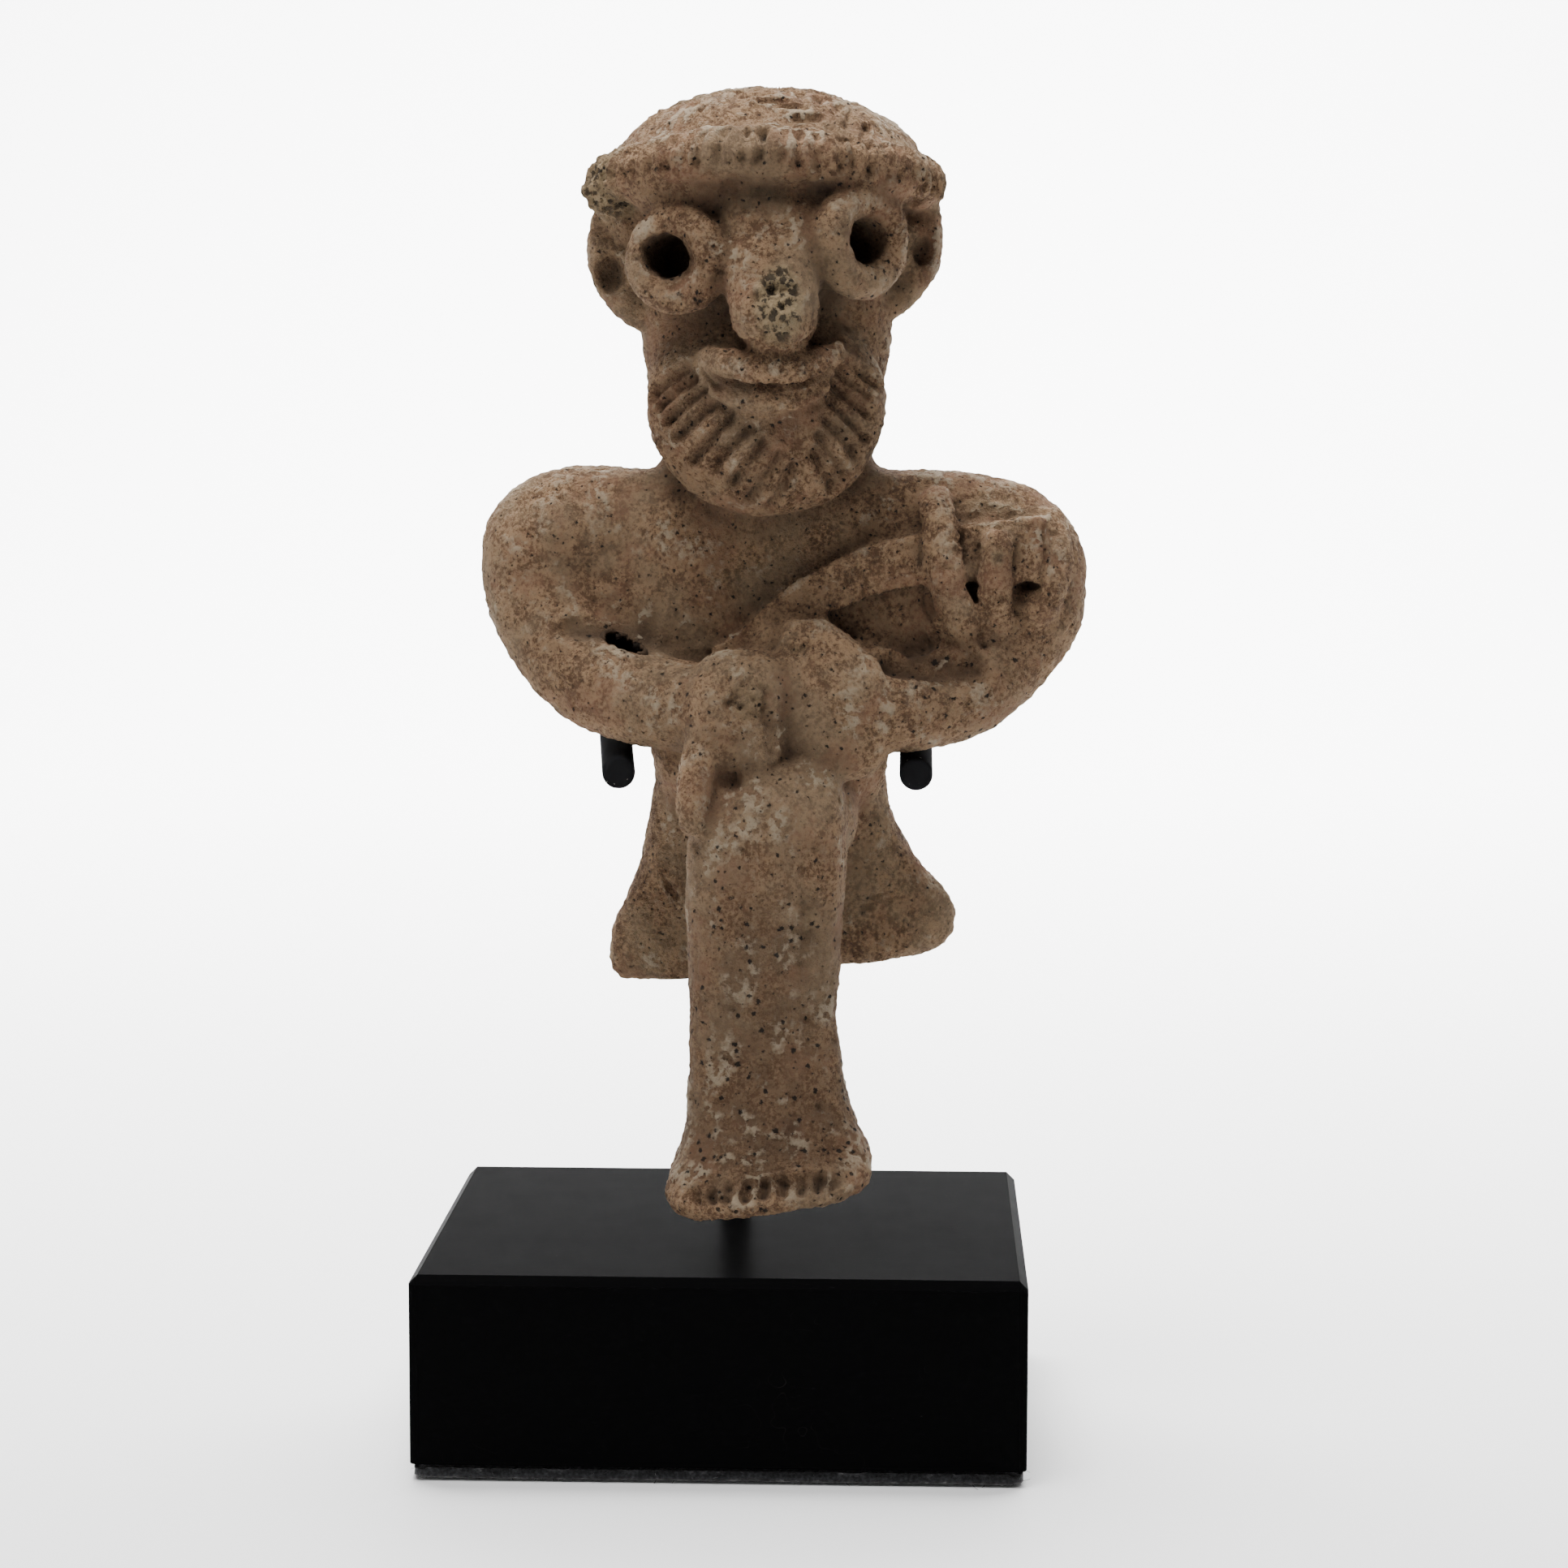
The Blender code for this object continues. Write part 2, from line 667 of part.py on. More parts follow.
def fork_path(figure):
    """The horseshoe round the waist and under both forearms, from tip to tip."""
    waist_low, waist_high = (SOLE.z + height * CLAY for height in WAIST)
    tip, bend = (SOLE.y + place * CLAY for place in (TINE_TIP, TINE_BEND))
    far = FIGURE_HEIGHT
    left, right = extent(figure, 0, (-far, SOLE.y, waist_low), (far, far, waist_high))
    centre, reach = (left + right) / 2, (right - left) / 2 + FORK_SLACK * CLAY + ROD_RADIUS
    x, y, z = positions(figure.data).T
    level, clear = far, ROD_RADIUS + TOUCH_GAP
    for side, spread in zip((-1, 1), TINE_SPREADS):
        aside = np.abs(x - centre - side * (reach + spread * (y - tip)))
        above = (aside < clear) & (y > tip - clear) & (y < bend) & (z > waist_low + ROD_DIAMETER)
        room = z[above] - TINE_RISE * (y[above] - tip) - np.sqrt(clear**2 - aside[above] ** 2)
        level = min(level, room.min())
    hindmost = extent(figure, 1, (-far, -far, SOLE.z), (far, far, level + 2 * ROD_DIAMETER))[1]
    back = hindmost + TOUCH_GAP + ROD_RADIUS
    sides = []
    for side, spread in zip((-1, 1), TINE_SPREADS):
        wide = reach + spread * (bend - tip)
        flat = [(side * reach, tip)]
        for turn in np.radians(np.arange(0, 90, 7.5)):
            across = wide * math.cos(turn) ** FORK_SQUARENESS
            flat.append((side * across, bend + (back - bend) * math.sin(turn)))
        sides.append(flat)
    whole = sides[0] + [(0, back)] + sides[1][::-1]
    return [Vector((centre + x, y, level + TINE_RISE * (y - tip))) for x, y in whole]


def rod(name, points):
    """A steel rod through points, as a mesh with its caps welded and its ends eased."""
    curve = bpy.data.curves.new(name, "CURVE")
    curve.dimensions = "3D"
    curve.bevel_depth = ROD_RADIUS
    curve.bevel_resolution = 4
    curve.use_fill_caps = True
    spline = curve.splines.new("POLY")
    spline.points.add(len(points) - 1)
    for spot, point in zip(spline.points, points):
        spot.co = (*point, 1.0)
    made = joined(name, [linked(name, curve)])
    ease = made.modifiers.new("ease", "BEVEL")
    ease.width = ROD_END_BEVEL
    ease.segments = 2
    ease.limit_method = "ANGLE"
    ease.angle_limit = math.radians(60)
    return baked(made)


def make_cradle(path, post_at, cutters):
    """Post and fork are brazed into one piece, so a union joins them."""
    fork = rod("support_cradle", path)
    foot = BLOCK_TOP - SOCKET_DEPTH + TOUCH_GAP
    post = rod("post", [Vector((*post_at, foot)), Vector((*post_at, max(point.z for point in path)))])
    post.hide_render = True
    post.display_type = "WIRE"
    file_under(post, cutters)
    braze = fork.modifiers.new("braze", "BOOLEAN")
    braze.operation = "UNION"
    braze.object = post
    return fork


def finish(obj, collection, look, is_round=False):
    file_under(obj, collection)
    obj.data.materials.clear()
    obj.data.materials.append(look)
    if is_round:
        obj.data.shade_smooth()
        obj.data.set_sharp_from_angle(angle=math.radians(40))


for leftover in list(bpy.data.objects):
    bpy.data.objects.remove(leftover)
parts = new_collection("seated_figure_on_stand")
hidden = new_collection("cutters")
seated_figure = make_figure()
fork_line = fork_path(seated_figure)
post_place = (0.0, max(point.y for point in fork_line))
finish(seated_figure, parts, material("terracotta", (0.33, 0.22, 0.15), 0.9), is_round=True)
finish(make_block(post_place, hidden), parts, material("black_lacquer", (0.012, 0.012, 0.013), 0.3))
finish(make_felt(), parts, material("grey_felt", (0.03, 0.03, 0.032), 1.0))
blackened = material("blackened_steel", (0.02, 0.02, 0.022), 0.45, metallic=0.6)
finish(make_cradle(fork_line, post_place, hidden), parts, blackened, is_round=True)
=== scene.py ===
import math
import random

import bpy
import numpy as np
from mathutils import Matrix, Vector, noise
from mathutils.bvhtree import BVHTree
from mathutils.kdtree import KDTree


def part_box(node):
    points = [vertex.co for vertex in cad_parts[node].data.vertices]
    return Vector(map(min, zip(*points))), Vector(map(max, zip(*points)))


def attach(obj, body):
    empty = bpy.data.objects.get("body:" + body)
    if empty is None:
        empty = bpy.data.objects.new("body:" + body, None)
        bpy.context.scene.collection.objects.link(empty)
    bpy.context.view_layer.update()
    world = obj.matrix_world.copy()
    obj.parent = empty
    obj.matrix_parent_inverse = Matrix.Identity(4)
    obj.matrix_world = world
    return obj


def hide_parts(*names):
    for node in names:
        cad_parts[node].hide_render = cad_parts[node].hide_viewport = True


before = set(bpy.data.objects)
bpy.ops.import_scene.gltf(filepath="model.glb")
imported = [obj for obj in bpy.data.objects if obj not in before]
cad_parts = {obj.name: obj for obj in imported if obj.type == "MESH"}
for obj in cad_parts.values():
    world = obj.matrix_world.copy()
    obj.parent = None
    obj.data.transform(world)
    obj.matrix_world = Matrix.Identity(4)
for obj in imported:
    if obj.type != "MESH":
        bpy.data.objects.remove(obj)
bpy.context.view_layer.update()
bpy.ops.object.select_all(action="DESELECT")


# Felt pad. A sheet of charcoal felt is glued under the block and trimmed a hair inside its sides.
# Its cut edge, with loose fibres standing out of it, shows as a dull line round the bottom.
MM = 0.001
FELT_CORNER = 2.4 * MM
FELT_PILE = 0.3 * MM
FELT_VOXEL = 0.5 * MM
FELT_TUFT, FELT_TANGLE = 1.1 * MM, 0.5 * MM
CHARCOAL, CHARCOAL_FUZZ = (0.004, 0.004, 0.005, 1), (0.03, 0.031, 0.034, 1)
FIBRES = 150
FIBRE_THICKNESS = 0.03 * MM
FIBRE_REACH = 0.9 * MM


class Wire:
    """The output of a shader node: sums on wires add Math nodes, and node() adds any other."""

    def __init__(self, socket):
        self.socket = socket

    def node(self, kind, sockets, output=0, **settings):
        tree = self.socket.id_data
        made = tree.nodes.new("ShaderNode" + kind)
        for name, value in settings.items():
            setattr(made, name, value)
        for name, value in sockets.items():
            if isinstance(value, Wire):
                tree.links.new(value.socket, made.inputs[name])
            else:
                made.inputs[name].default_value = value
        return Wire(made.outputs[output])

    def math(self, operation, first, second, use_clamp=False):
        return self.node("Math", {0: first, 1: second}, operation=operation, use_clamp=use_clamp)

    def __add__(self, other):
        return self.math("ADD", self, other)

    def __sub__(self, other):
        return self.math("SUBTRACT", self, other)

    def __rsub__(self, other):
        return self.math("SUBTRACT", other, self)

    def __mul__(self, other):
        return self.math("MULTIPLY", self, other)

    __radd__ = __add__
    __rmul__ = __mul__

    def held(self):
        """The same value, kept from 0 to 1."""
        return self.math("ADD", self, 0, use_clamp=True)

    def step(self, low, high):
        """0 below low and 1 above high, with a soft slope between them."""
        return self.node("MapRange", {0: self, 1: low, 2: high}, interpolation_type="SMOOTHSTEP")

    def grain(self, size, detail=3.0, roughness=0.5):
        """Cloudy noise whose lumps are about so many metres across, from 0 to 1."""
        sockets = {"Vector": self, "Scale": 1 / size, "Detail": detail, "Roughness": roughness}
        return self.node("TexNoise", sockets)

    def cells(self, size):
        """The distance to the nearest of many scattered points, as a share of the size between them."""
        return self.node("TexVoronoi", {"Vector": self, "Scale": 1 / size})

    def colours(self, there, here):
        """One colour where this is 0 and the other where it is 1."""
        return self.node("Mix", {0: self, 6: there, 7: here}, output=2, data_type="RGBA")

    def into(self, shader, name):
        self.socket.id_data.links.new(self.socket, shader.inputs[name])


def finish_named(name, **constants):
    """A material, its shader and its place on the object, with its plain values set."""
    made = bpy.data.materials.new(name)
    made.use_nodes = True
    shader = made.node_tree.nodes["Principled BSDF"]
    for socket, value in constants.items():
        shader.inputs[socket.replace("_", " ")].default_value = value
    place = made.node_tree.nodes.new("ShaderNodeTexCoord").outputs["Object"]
    return made, shader, Wire(place)


def select_only(pieces):
    bpy.ops.object.select_all(action="DESELECT")
    for piece in pieces:
        piece.select_set(True)
    bpy.context.view_layer.objects.active = pieces[0]


def as_one(name, pieces):
    """Makes one mesh of several curves and meshes, with its place in its vertices."""
    select_only(pieces)
    bpy.ops.object.convert(target="MESH")
    if len(pieces) > 1:
        bpy.ops.object.join()
    bpy.ops.object.transform_apply(location=True, rotation=True, scale=True)
    piece = bpy.context.object
    piece.name = name
    return piece


def with_modifier(piece, kind, **settings):
    """Adds a modifier with its settings and applies it."""
    modifier = piece.modifiers.new(kind.lower(), kind)
    for name, value in settings.items():
        setattr(modifier, name, value)
    select_only([piece])
    bpy.ops.object.modifier_apply(modifier=modifier.name)


def clouds(size, depth=2):
    texture = bpy.data.textures.new("clouds", "CLOUDS")
    texture.noise_scale = size
    texture.noise_depth = depth
    return texture


def curve_object(name, lines, thickness, resolution, kind="POLY"):
    """One tube for each line of points, in one curve object. Thickness is a radius."""
    curve = bpy.data.curves.new(name, "CURVE")
    curve.dimensions = "3D"
    curve.bevel_depth = thickness
    curve.bevel_resolution = resolution
    curve.use_fill_caps = True
    for points in lines:
        spline = curve.splines.new(kind)
        spline.points.add(len(points) - 1)
        for spot, point in zip(spline.points, points):
            spot.co = (*point, 1)
    made = bpy.data.objects.new(name, curve)
    bpy.context.scene.collection.objects.link(made)
    return made


def loose_fibres(low, high):
    """Short curls that leave the cut edge at random places."""
    draw = random.Random(4)
    lines = []
    for _ in range(FIBRES):
        x, y = draw.uniform(low.x, high.x), draw.uniform(low.y, high.y)
        side = draw.choice(("left", "right", "front", "back"))
        outward = {"left": (-1, 0), "right": (1, 0), "front": (0, -1), "back": (0, 1)}[side]
        x = {-1: low.x, 0: x, 1: high.x}[outward[0]]
        y = {-1: low.y, 0: y, 1: high.y}[outward[1]]
        root = Vector((x, y, draw.uniform(low.z + FELT_PILE, high.z - FELT_PILE)))
        outward = Vector((*outward, 0))
        start = root - outward * FELT_PILE
        drift = Vector((draw.uniform(-1, 1), draw.uniform(-1, 1), draw.uniform(-0.6, 0.3))) * FIBRE_REACH
        points = [start]
        for share in (0.35, 0.7, 1.0):
            reach = outward * FIBRE_REACH * share * draw.uniform(0.4, 1.0)
            point = start + reach + drift * share**2
            point.z = max(point.z, low.z + 2 * FIBRE_THICKNESS)
            points.append(point)
        lines.append(points)
    return curve_object("fibres", lines, FIBRE_THICKNESS, 0)


felt_low, felt_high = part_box("felt_pad")
bpy.ops.mesh.primitive_cube_add(size=1, location=(felt_low + felt_high) / 2, scale=felt_high - felt_low)
bpy.ops.object.transform_apply(location=True, rotation=True, scale=True)
felt = bpy.context.object
bpy.ops.object.mode_set(mode="EDIT")
bpy.ops.mesh.select_all(action="DESELECT")
bpy.ops.object.mode_set(mode="OBJECT")
for edge in felt.data.edges:
    ends = [felt.data.vertices[index].co for index in edge.vertices]
    edge.select = abs(ends[0].z - ends[1].z) > FELT_PILE
bpy.ops.object.mode_set(mode="EDIT")
bpy.ops.mesh.select_mode(type="EDGE")
bpy.ops.mesh.bevel(offset=FELT_CORNER, segments=6)
bpy.ops.object.mode_set(mode="OBJECT")
with_modifier(felt, "REMESH", mode="VOXEL", voxel_size=FELT_VOXEL)
with_modifier(felt, "DISPLACE", texture=clouds(FELT_TUFT), strength=FELT_PILE, mid_level=0.75)
with_modifier(felt, "DECIMATE", ratio=0.25)
felt = as_one("felt", [felt, loose_fibres(felt_low, felt_high)])
felt.data.shade_smooth()

felt_cloth, shader, place = finish_named("charcoal_felt", Roughness=1.0, Sheen_Weight=0.25)
tangle = place.grain(FELT_TANGLE, detail=4)
tangle.step(0.35, 0.75).colours(CHARCOAL, CHARCOAL_FUZZ).into(shader, "Base Color")
bump = place.node("Bump", {"Height": tangle, "Strength": 0.8, "Distance": 0.2 * MM})
bump.into(shader, "Normal")
felt.data.materials.clear()
felt.data.materials.append(felt_cloth)
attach(felt, "root")
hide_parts("felt_pad")


# Display block. It is wood painted with a black lacquer that is rubbed smooth. Specks of dust lie on
# it, fine scratches cross it here and there, and its sheen varies a little from place to place.
DUST_APART = 3.2 * MM
SCRATCH_APART = 5 * MM
SCRATCH_TURN, SCRATCH_SQUEEZE = 0.5, 22
PEEL_SIZE, PEEL_DEPTH = 1.3 * MM, 0.05 * MM
BLACK_PAINT, DUSTY_PAINT = (0.0025, 0.0025, 0.0027, 1), (0.14, 0.13, 0.12, 1)

lacquer, shader, place = finish_named("black_lacquer_paint", Specular_IOR_Level=0.0003)
block_low, block_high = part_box("display_block")
dust_size = place.grain(9 * MM).step(0.45, 0.75) * 0.1
dust = 1 - place.cells(DUST_APART).step(0.02, 0.06)
slant, squeeze = (0, 0, SCRATCH_TURN), (1, SCRATCH_SQUEEZE, 1)
streak = place.node("Mapping", {"Vector": place, "Rotation": slant, "Scale": squeeze})
thread = streak.grain(SCRATCH_APART, detail=1)
scratch = thread.step(0.498, 0.5) * (1 - thread.step(0.5, 0.502))
scratched = (scratch * place.grain(14 * MM).step(0.56, 0.66)).held()
dull = (dust * dust_size + scratched * 0.1).held()
dull.colours(BLACK_PAINT, DUSTY_PAINT).into(shader, "Base Color")
(0.26 + place.grain(6 * MM, detail=5) * 0.1 + scratched * 0.2).into(shader, "Roughness")
orange_peel = place.grain(PEEL_SIZE, detail=1)
bump = place.node("Bump", {"Height": orange_peel, "Strength": 0.12, "Distance": PEEL_DEPTH})
bump.into(shader, "Normal")
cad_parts["display_block"].material_slots[0].material = lacquer


# Support cradle. A 5 mm steel rod is bent into a horseshoe round the waist, brazed to an upright
# post behind the figure, and painted black; the paint is chipped pale at the tips.
ROD_RADIUS = 2.5 * MM
TIP_EASE = 0.4 * MM
TINE_RISE = 0.12
TINE_SPREAD = 0.1
TINE_STRAIGHT = 26 * MM
FORK_SQUARENESS = 0.4
POST_X = 0.0
ROD_VOXEL = 0.3 * MM
PITTING, PITTING_DEPTH = 0.8 * MM, 0.1 * MM
CHIPS_BEGIN, CHIPS_FULL, CHIPS_END = -0.2 * MM, 0.3 * MM, 1.6 * MM
PAINTED_ROD, CHIPPED_ROD = (0.012, 0.012, 0.013, 1), (0.2, 0.19, 0.17, 1)

cradle_low, cradle_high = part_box("support_cradle")
tip_y = cradle_low.y + ROD_RADIUS * TINE_RISE
bend_y = tip_y + TINE_STRAIGHT
back_y = cradle_high.y - ROD_RADIUS
spread = TINE_SPREAD * TINE_STRAIGHT
half_gap = (cradle_high.x - cradle_low.x - 2 * ROD_RADIUS - spread) / 2
fork_x = cradle_high.x - ROD_RADIUS - half_gap
tip_z = cradle_high.z - ROD_RADIUS - TINE_RISE * (back_y - tip_y)


def tine(side, wide):
    """One side of the horseshoe, from its tip in front to the middle of its back."""
    flat = [(side * half_gap, tip_y)]
    for turn in np.radians(np.arange(0, 90, 3)):
        x = side * wide * math.cos(turn) ** FORK_SQUARENESS
        flat.append((x, bend_y + (back_y - bend_y) * math.sin(turn)))
    return [Vector((fork_x + x, y, tip_z + TINE_RISE * (y - tip_y))) for x, y in flat]


left_side, right_side = tine(-1, half_gap + spread), tine(1, half_gap)
back_z = tip_z + TINE_RISE * (back_y - tip_y)
fork_line = left_side + [Vector((fork_x, back_y, back_z))] + right_side[::-1]
fork = curve_object("fork", [fork_line], ROD_RADIUS, 10)
post_line = [Vector((POST_X, back_y, cradle_low.z)), Vector((POST_X, back_y, back_z))]
post = curve_object("post", [post_line], ROD_RADIUS, 10)
rods = as_one("cradle", [fork, post])
select_only([rods])
bpy.ops.object.mode_set(mode="EDIT")
bpy.ops.mesh.select_all(action="SELECT")
bpy.ops.mesh.remove_doubles(threshold=0.01 * MM)
bpy.ops.object.mode_set(mode="OBJECT")
with_modifier(
    rods, "BEVEL", width=TIP_EASE, segments=3, limit_method="ANGLE", angle_limit=math.radians(60)
)
with_modifier(rods, "REMESH", mode="VOXEL", voxel_size=ROD_VOXEL)
with_modifier(rods, "SMOOTH", factor=0.5, iterations=4)
rods.data.shade_smooth()

steel_paint, shader, place = finish_named("blackened_steel_paint", Specular_IOR_Level=0.0001)
across = place.node("SeparateXYZ", {"Vector": place}, output=1)
tip_face = ROD_RADIUS * TINE_RISE + TIP_EASE
before_end = 1 - across.step(tip_y + tip_face, tip_y + tip_face + CHIPS_END)
near_tip = before_end * across.step(tip_y + CHIPS_BEGIN, tip_y + CHIPS_FULL)
chipped = (place.grain(PITTING, detail=4) + near_tip * 0.1).step(0.74, 0.8) * near_tip
chipped.colours(PAINTED_ROD, CHIPPED_ROD).into(shader, "Base Color")
(0.38 + place.grain(2 * MM) * 0.2).into(shader, "Roughness")
pits = place.grain(PITTING)
bump = place.node("Bump", {"Height": pits, "Strength": 0.3, "Distance": PITTING_DEPTH})
bump.into(shader, "Normal")
rods.data.materials.clear()
rods.data.materials.append(steel_paint)
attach(rods, "root")
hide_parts("support_cradle")


# Body of the figure. Chest, arms, legs and the flared slab behind the knees are thick rolls and slabs
# of wet clay pushed into one another. Everything on the figure is in clay units of about 1 mm,
# from the sole upwards, with +X to the viewer's right and -Y to the front.
CROWN = 165.1
SOLE_LIFT = 7.8 * MM
SOLE_X, SOLE_Y = 6.5 * MM, 4 * MM
BODY_GRAIN = 0.8

sole = Vector((SOLE_X, SOLE_Y, block_high.z + SOLE_LIFT))
clay_unit = (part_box("figure")[1].z - sole.z) / CROWN


def ball(centre, radii, lean=(0, 0, 0)):
    """A ball of clay pressed to three radii and leant by degrees about X, Y and Z."""
    turned = [math.radians(angle) for angle in lean]
    bpy.ops.mesh.primitive_uv_sphere_add(
        segments=48, ring_count=32, location=centre, rotation=turned, scale=radii
    )
    return bpy.context.object


def roll(points, radii, round_ends=True, closed=False):
    """A rolled length of clay along points, with a radius at each."""
    made = curve_object("roll", [points], 1.0, 8, kind="NURBS")
    made.data.resolution_u = 10
    spline = made.data.splines[0]
    for spot, radius in zip(spline.points, radii):
        spot.radius = radius
    spline.order_u = min(4, len(points))
    spline.use_endpoint_u = not closed
    spline.use_cyclic_u = closed
    ends = [ball(points[end], [radii[end]] * 3) for end in (0, -1)] if round_ends and not closed else []
    return [made, *ends]


def between(stations, place):
    """The station at a place along them, on a smooth curve through each of them."""
    last = len(stations) - 1
    at = min(int(place), last - 1)
    t = place - at
    near = [np.array(stations[min(max(at + k, 0), last)], float) for k in (-1, 0, 1, 2)]
    before, here, there, after = near
    return 0.5 * (
        2 * here
        + (there - before) * t
        + (2 * before - 5 * here + 4 * there - after) * t**2
        + (3 * here - before - 3 * there + after) * t**3
    )


def drawn(stations, squareness, slant=0.0, rings_between=7):
    """An upright form through stations of (height, x, y, half width, half depth), drawn up ring by ring.

    Its bottom may slant, rising by so much for each unit to +X, and the slant dies out at the top.
    """
    rings = (len(stations) - 1) * rings_between
    bpy.ops.mesh.primitive_circle_add(vertices=64, radius=1, fill_type="NGON")
    bpy.ops.object.mode_set(mode="EDIT")
    for _ in range(rings):
        bpy.ops.mesh.extrude_region_move(TRANSFORM_OT_translate={"value": (0, 0, 1)})
    bpy.ops.object.mode_set(mode="OBJECT")
    made = bpy.context.object
    for vert in made.data.vertices:
        ring = round(vert.co.z)
        height, x, y, half_width, half_depth = between(stations, ring / rings_between)
        across = half_width * math.copysign(abs(vert.co.x) ** (2 / squareness), vert.co.x)
        along = half_depth * math.copysign(abs(vert.co.y) ** (2 / squareness), vert.co.y)
        vert.co = (x + across, y + along, height + slant * (1 - ring / rings) * across)
    return made


def kneaded(piece, grain, strokes):
    """Fuses overlapping lumps into one skin and smooths the seams, as wet fingers do."""
    with_modifier(piece, "REMESH", mode="VOXEL", voxel_size=grain)
    with_modifier(piece, "SMOOTH", factor=0.5, iterations=strokes)
    return piece


chest = drawn(
    [
        (57, -0.5, 1, 14, 9),
        (61, -0.5, 0.5, 17.6, 11),
        (67, -0.5, 0, 18.6, 11.4),
        (72, 0, 0, 24, 10.6),
        (80, 0.5, 0, 34, 10.4),
        (90, 0.5, 0, 38, 10.2),
        (99, 0, 0, 35, 10.2),
        (104, -1, 0, 32, 9),
        (107.8, -1, 0, 28, 6.5),
    ],
    squareness=3.4,
)
right_arm = roll(
    [
        (-22, 0, 98.4),
        (-35.8, 0, 100.8),
        (-36.6, -1.4, 91),
        (-32.8, -4, 83),
        (-27.2, -8.6, 76.8),
        (-19, -13.6, 73.4),
        (-9, -18, 72.6),
    ],
    [9.6, 9.8, 9.0, 8.8, 8.2, 7.2, 6.6],
)
left_arm = roll(
    [
        (20, 0, 98.4),
        (36, 0, 99.6),
        (40, -1.4, 91),
        (36.4, -4, 84),
        (30.4, -9, 76.2),
        (22.6, -13.6, 72.4),
        (13, -17, 72.8),
    ],
    [9.6, 9.4, 9.4, 9.3, 8.2, 6.7, 7.0],
)
shin = drawn(
    [
        (0.2, 0.3, -26.5, 12, 9.5),
        (2.2, 0.5, -27, 15.2, 11.4),
        (6, 0.5, -25.5, 15.2, 10),
        (10, 0.4, -23.6, 13.2, 7.8),
        (16, -0.2, -22.6, 12, 7),
        (26, -0.7, -22.4, 11, 7.2),
        (40, -0.5, -22.6, 11.4, 7.8),
        (50, -0.3, -22.8, 11.8, 8.2),
        (58, 0.2, -21.8, 11, 8.4),
        (62.6, 0.8, -20.4, 10, 7.4),
        (66, 1.6, -18.6, 7.6, 5.6),
    ],
    squareness=3.0,
    slant=0.13,
)
seat = drawn(
    [
        (30.4, -0.4, 5.2, 23.8, 5.2),
        (32.2, 0.5, 5, 26.4, 6.4),
        (36, 1.1, 4.8, 27.2, 7.0),
        (39.8, 1.3, 4.6, 26.2, 7.4),
        (46.4, 0.6, 4, 22, 8),
        (53, -0.4, 3, 19.4, 8.8),
        (61, -0.6, 2, 17.6, 9.6),
        (66, -0.6, 1, 16, 9.6),
    ],
    squareness=2.6,
    slant=0.1,
)
lap = roll([(0, -20, 55.6), (0, -12, 56), (0, 0, 58)], [8, 8.5, 9])
thighs = [ball((side * 6, -11, 56), (7, 14, 7.4)) for side in (-1, 1)]
skull = drawn(
    [
        (100, -1, 1, 16, 9),
        (107, -1, 0, 16.6, 9.5),
        (112, -1, -1, 15.8, 10),
        (118, -1.2, -2, 17.4, 11.6),
        (127, -1.2, -2.4, 18.8, 12.8),
        (138, -1, -3, 18.6, 13.4),
        (148, -1.2, -3, 20, 13.8),
        (154, -1.5, -3, 18, 13),
    ],
    squareness=2.3,
)
dome_rings = []
for turn in np.radians([0, 15, 30, 45, 60, 72, 82, 89]):
    rise, reach = math.sin(turn), math.cos(turn)
    dome_rings.append((150.2 + 15 * rise, -1, -2.5, 24.6 * reach, 20 * reach))
dome = drawn(dome_rings, squareness=2)
brow = ball((-10, -12, 149), (12, 8, 4.6))
temple = ball((-21.4, -4, 146.6), (4.6, 5.4, 5))
body_lumps = [chest, *right_arm, *left_arm, shin, seat, *lap, *thighs, skull, dome, brow, temple]
body = kneaded(as_one("body", body_lumps), BODY_GRAIN, 20)


# Face and cap. The beak nose is pinched up, the lips are two crescents, each eye is a thick ring of
# clay pressed on over a pierced pupil, each ear is a loop, and the cap's rim is a heavy roll.
# An eye is its middle, its radius, the way it faces, and its pupil's radius and shift.
EYE_LIP = 2.7
RIM_ROLL = 4.1
EYES = [
    ((-13.7, -18.2, 139.0), 8.1, -20, 3.5, (-1.6, 0, 0.6)),
    ((13.3, -16.8, 141.9), 8.7, 43, 3.6, (0.5, 0, -0.2)),
]


def outwards(degrees):
    """The way an eye faces: straight to the front at 0 degrees."""
    return Vector((math.sin(math.radians(degrees)), -math.cos(math.radians(degrees)), 0))


def eye(centre, radius, turned):
    """A thick ring over a short round backing."""
    facing = outwards(turned)
    bpy.ops.mesh.primitive_torus_add(
        major_radius=radius - EYE_LIP,
        minor_radius=EYE_LIP,
        major_segments=64,
        minor_segments=24,
        location=centre,
        rotation=facing.to_track_quat("Z", "Y").to_euler(),
    )
    middle = Vector(centre)
    backing = roll([middle - facing * 6, middle], [radius - 0.7, radius - 1.2], round_ends=False)
    return [bpy.context.object, *backing]


def rim_point(degrees, out=0.0, up=0.0):
    """A point by the middle of the cap's rim; 0 degrees is the front, and the rim droops at the sides."""
    turn = math.radians(degrees)
    sine, cosine = math.sin(turn), math.cos(turn)
    return (-1.3 + (23.2 + out) * sine, -2.5 - (17.8 + out) * cosine, 154.2 - 3.4 * sine**2 + up)


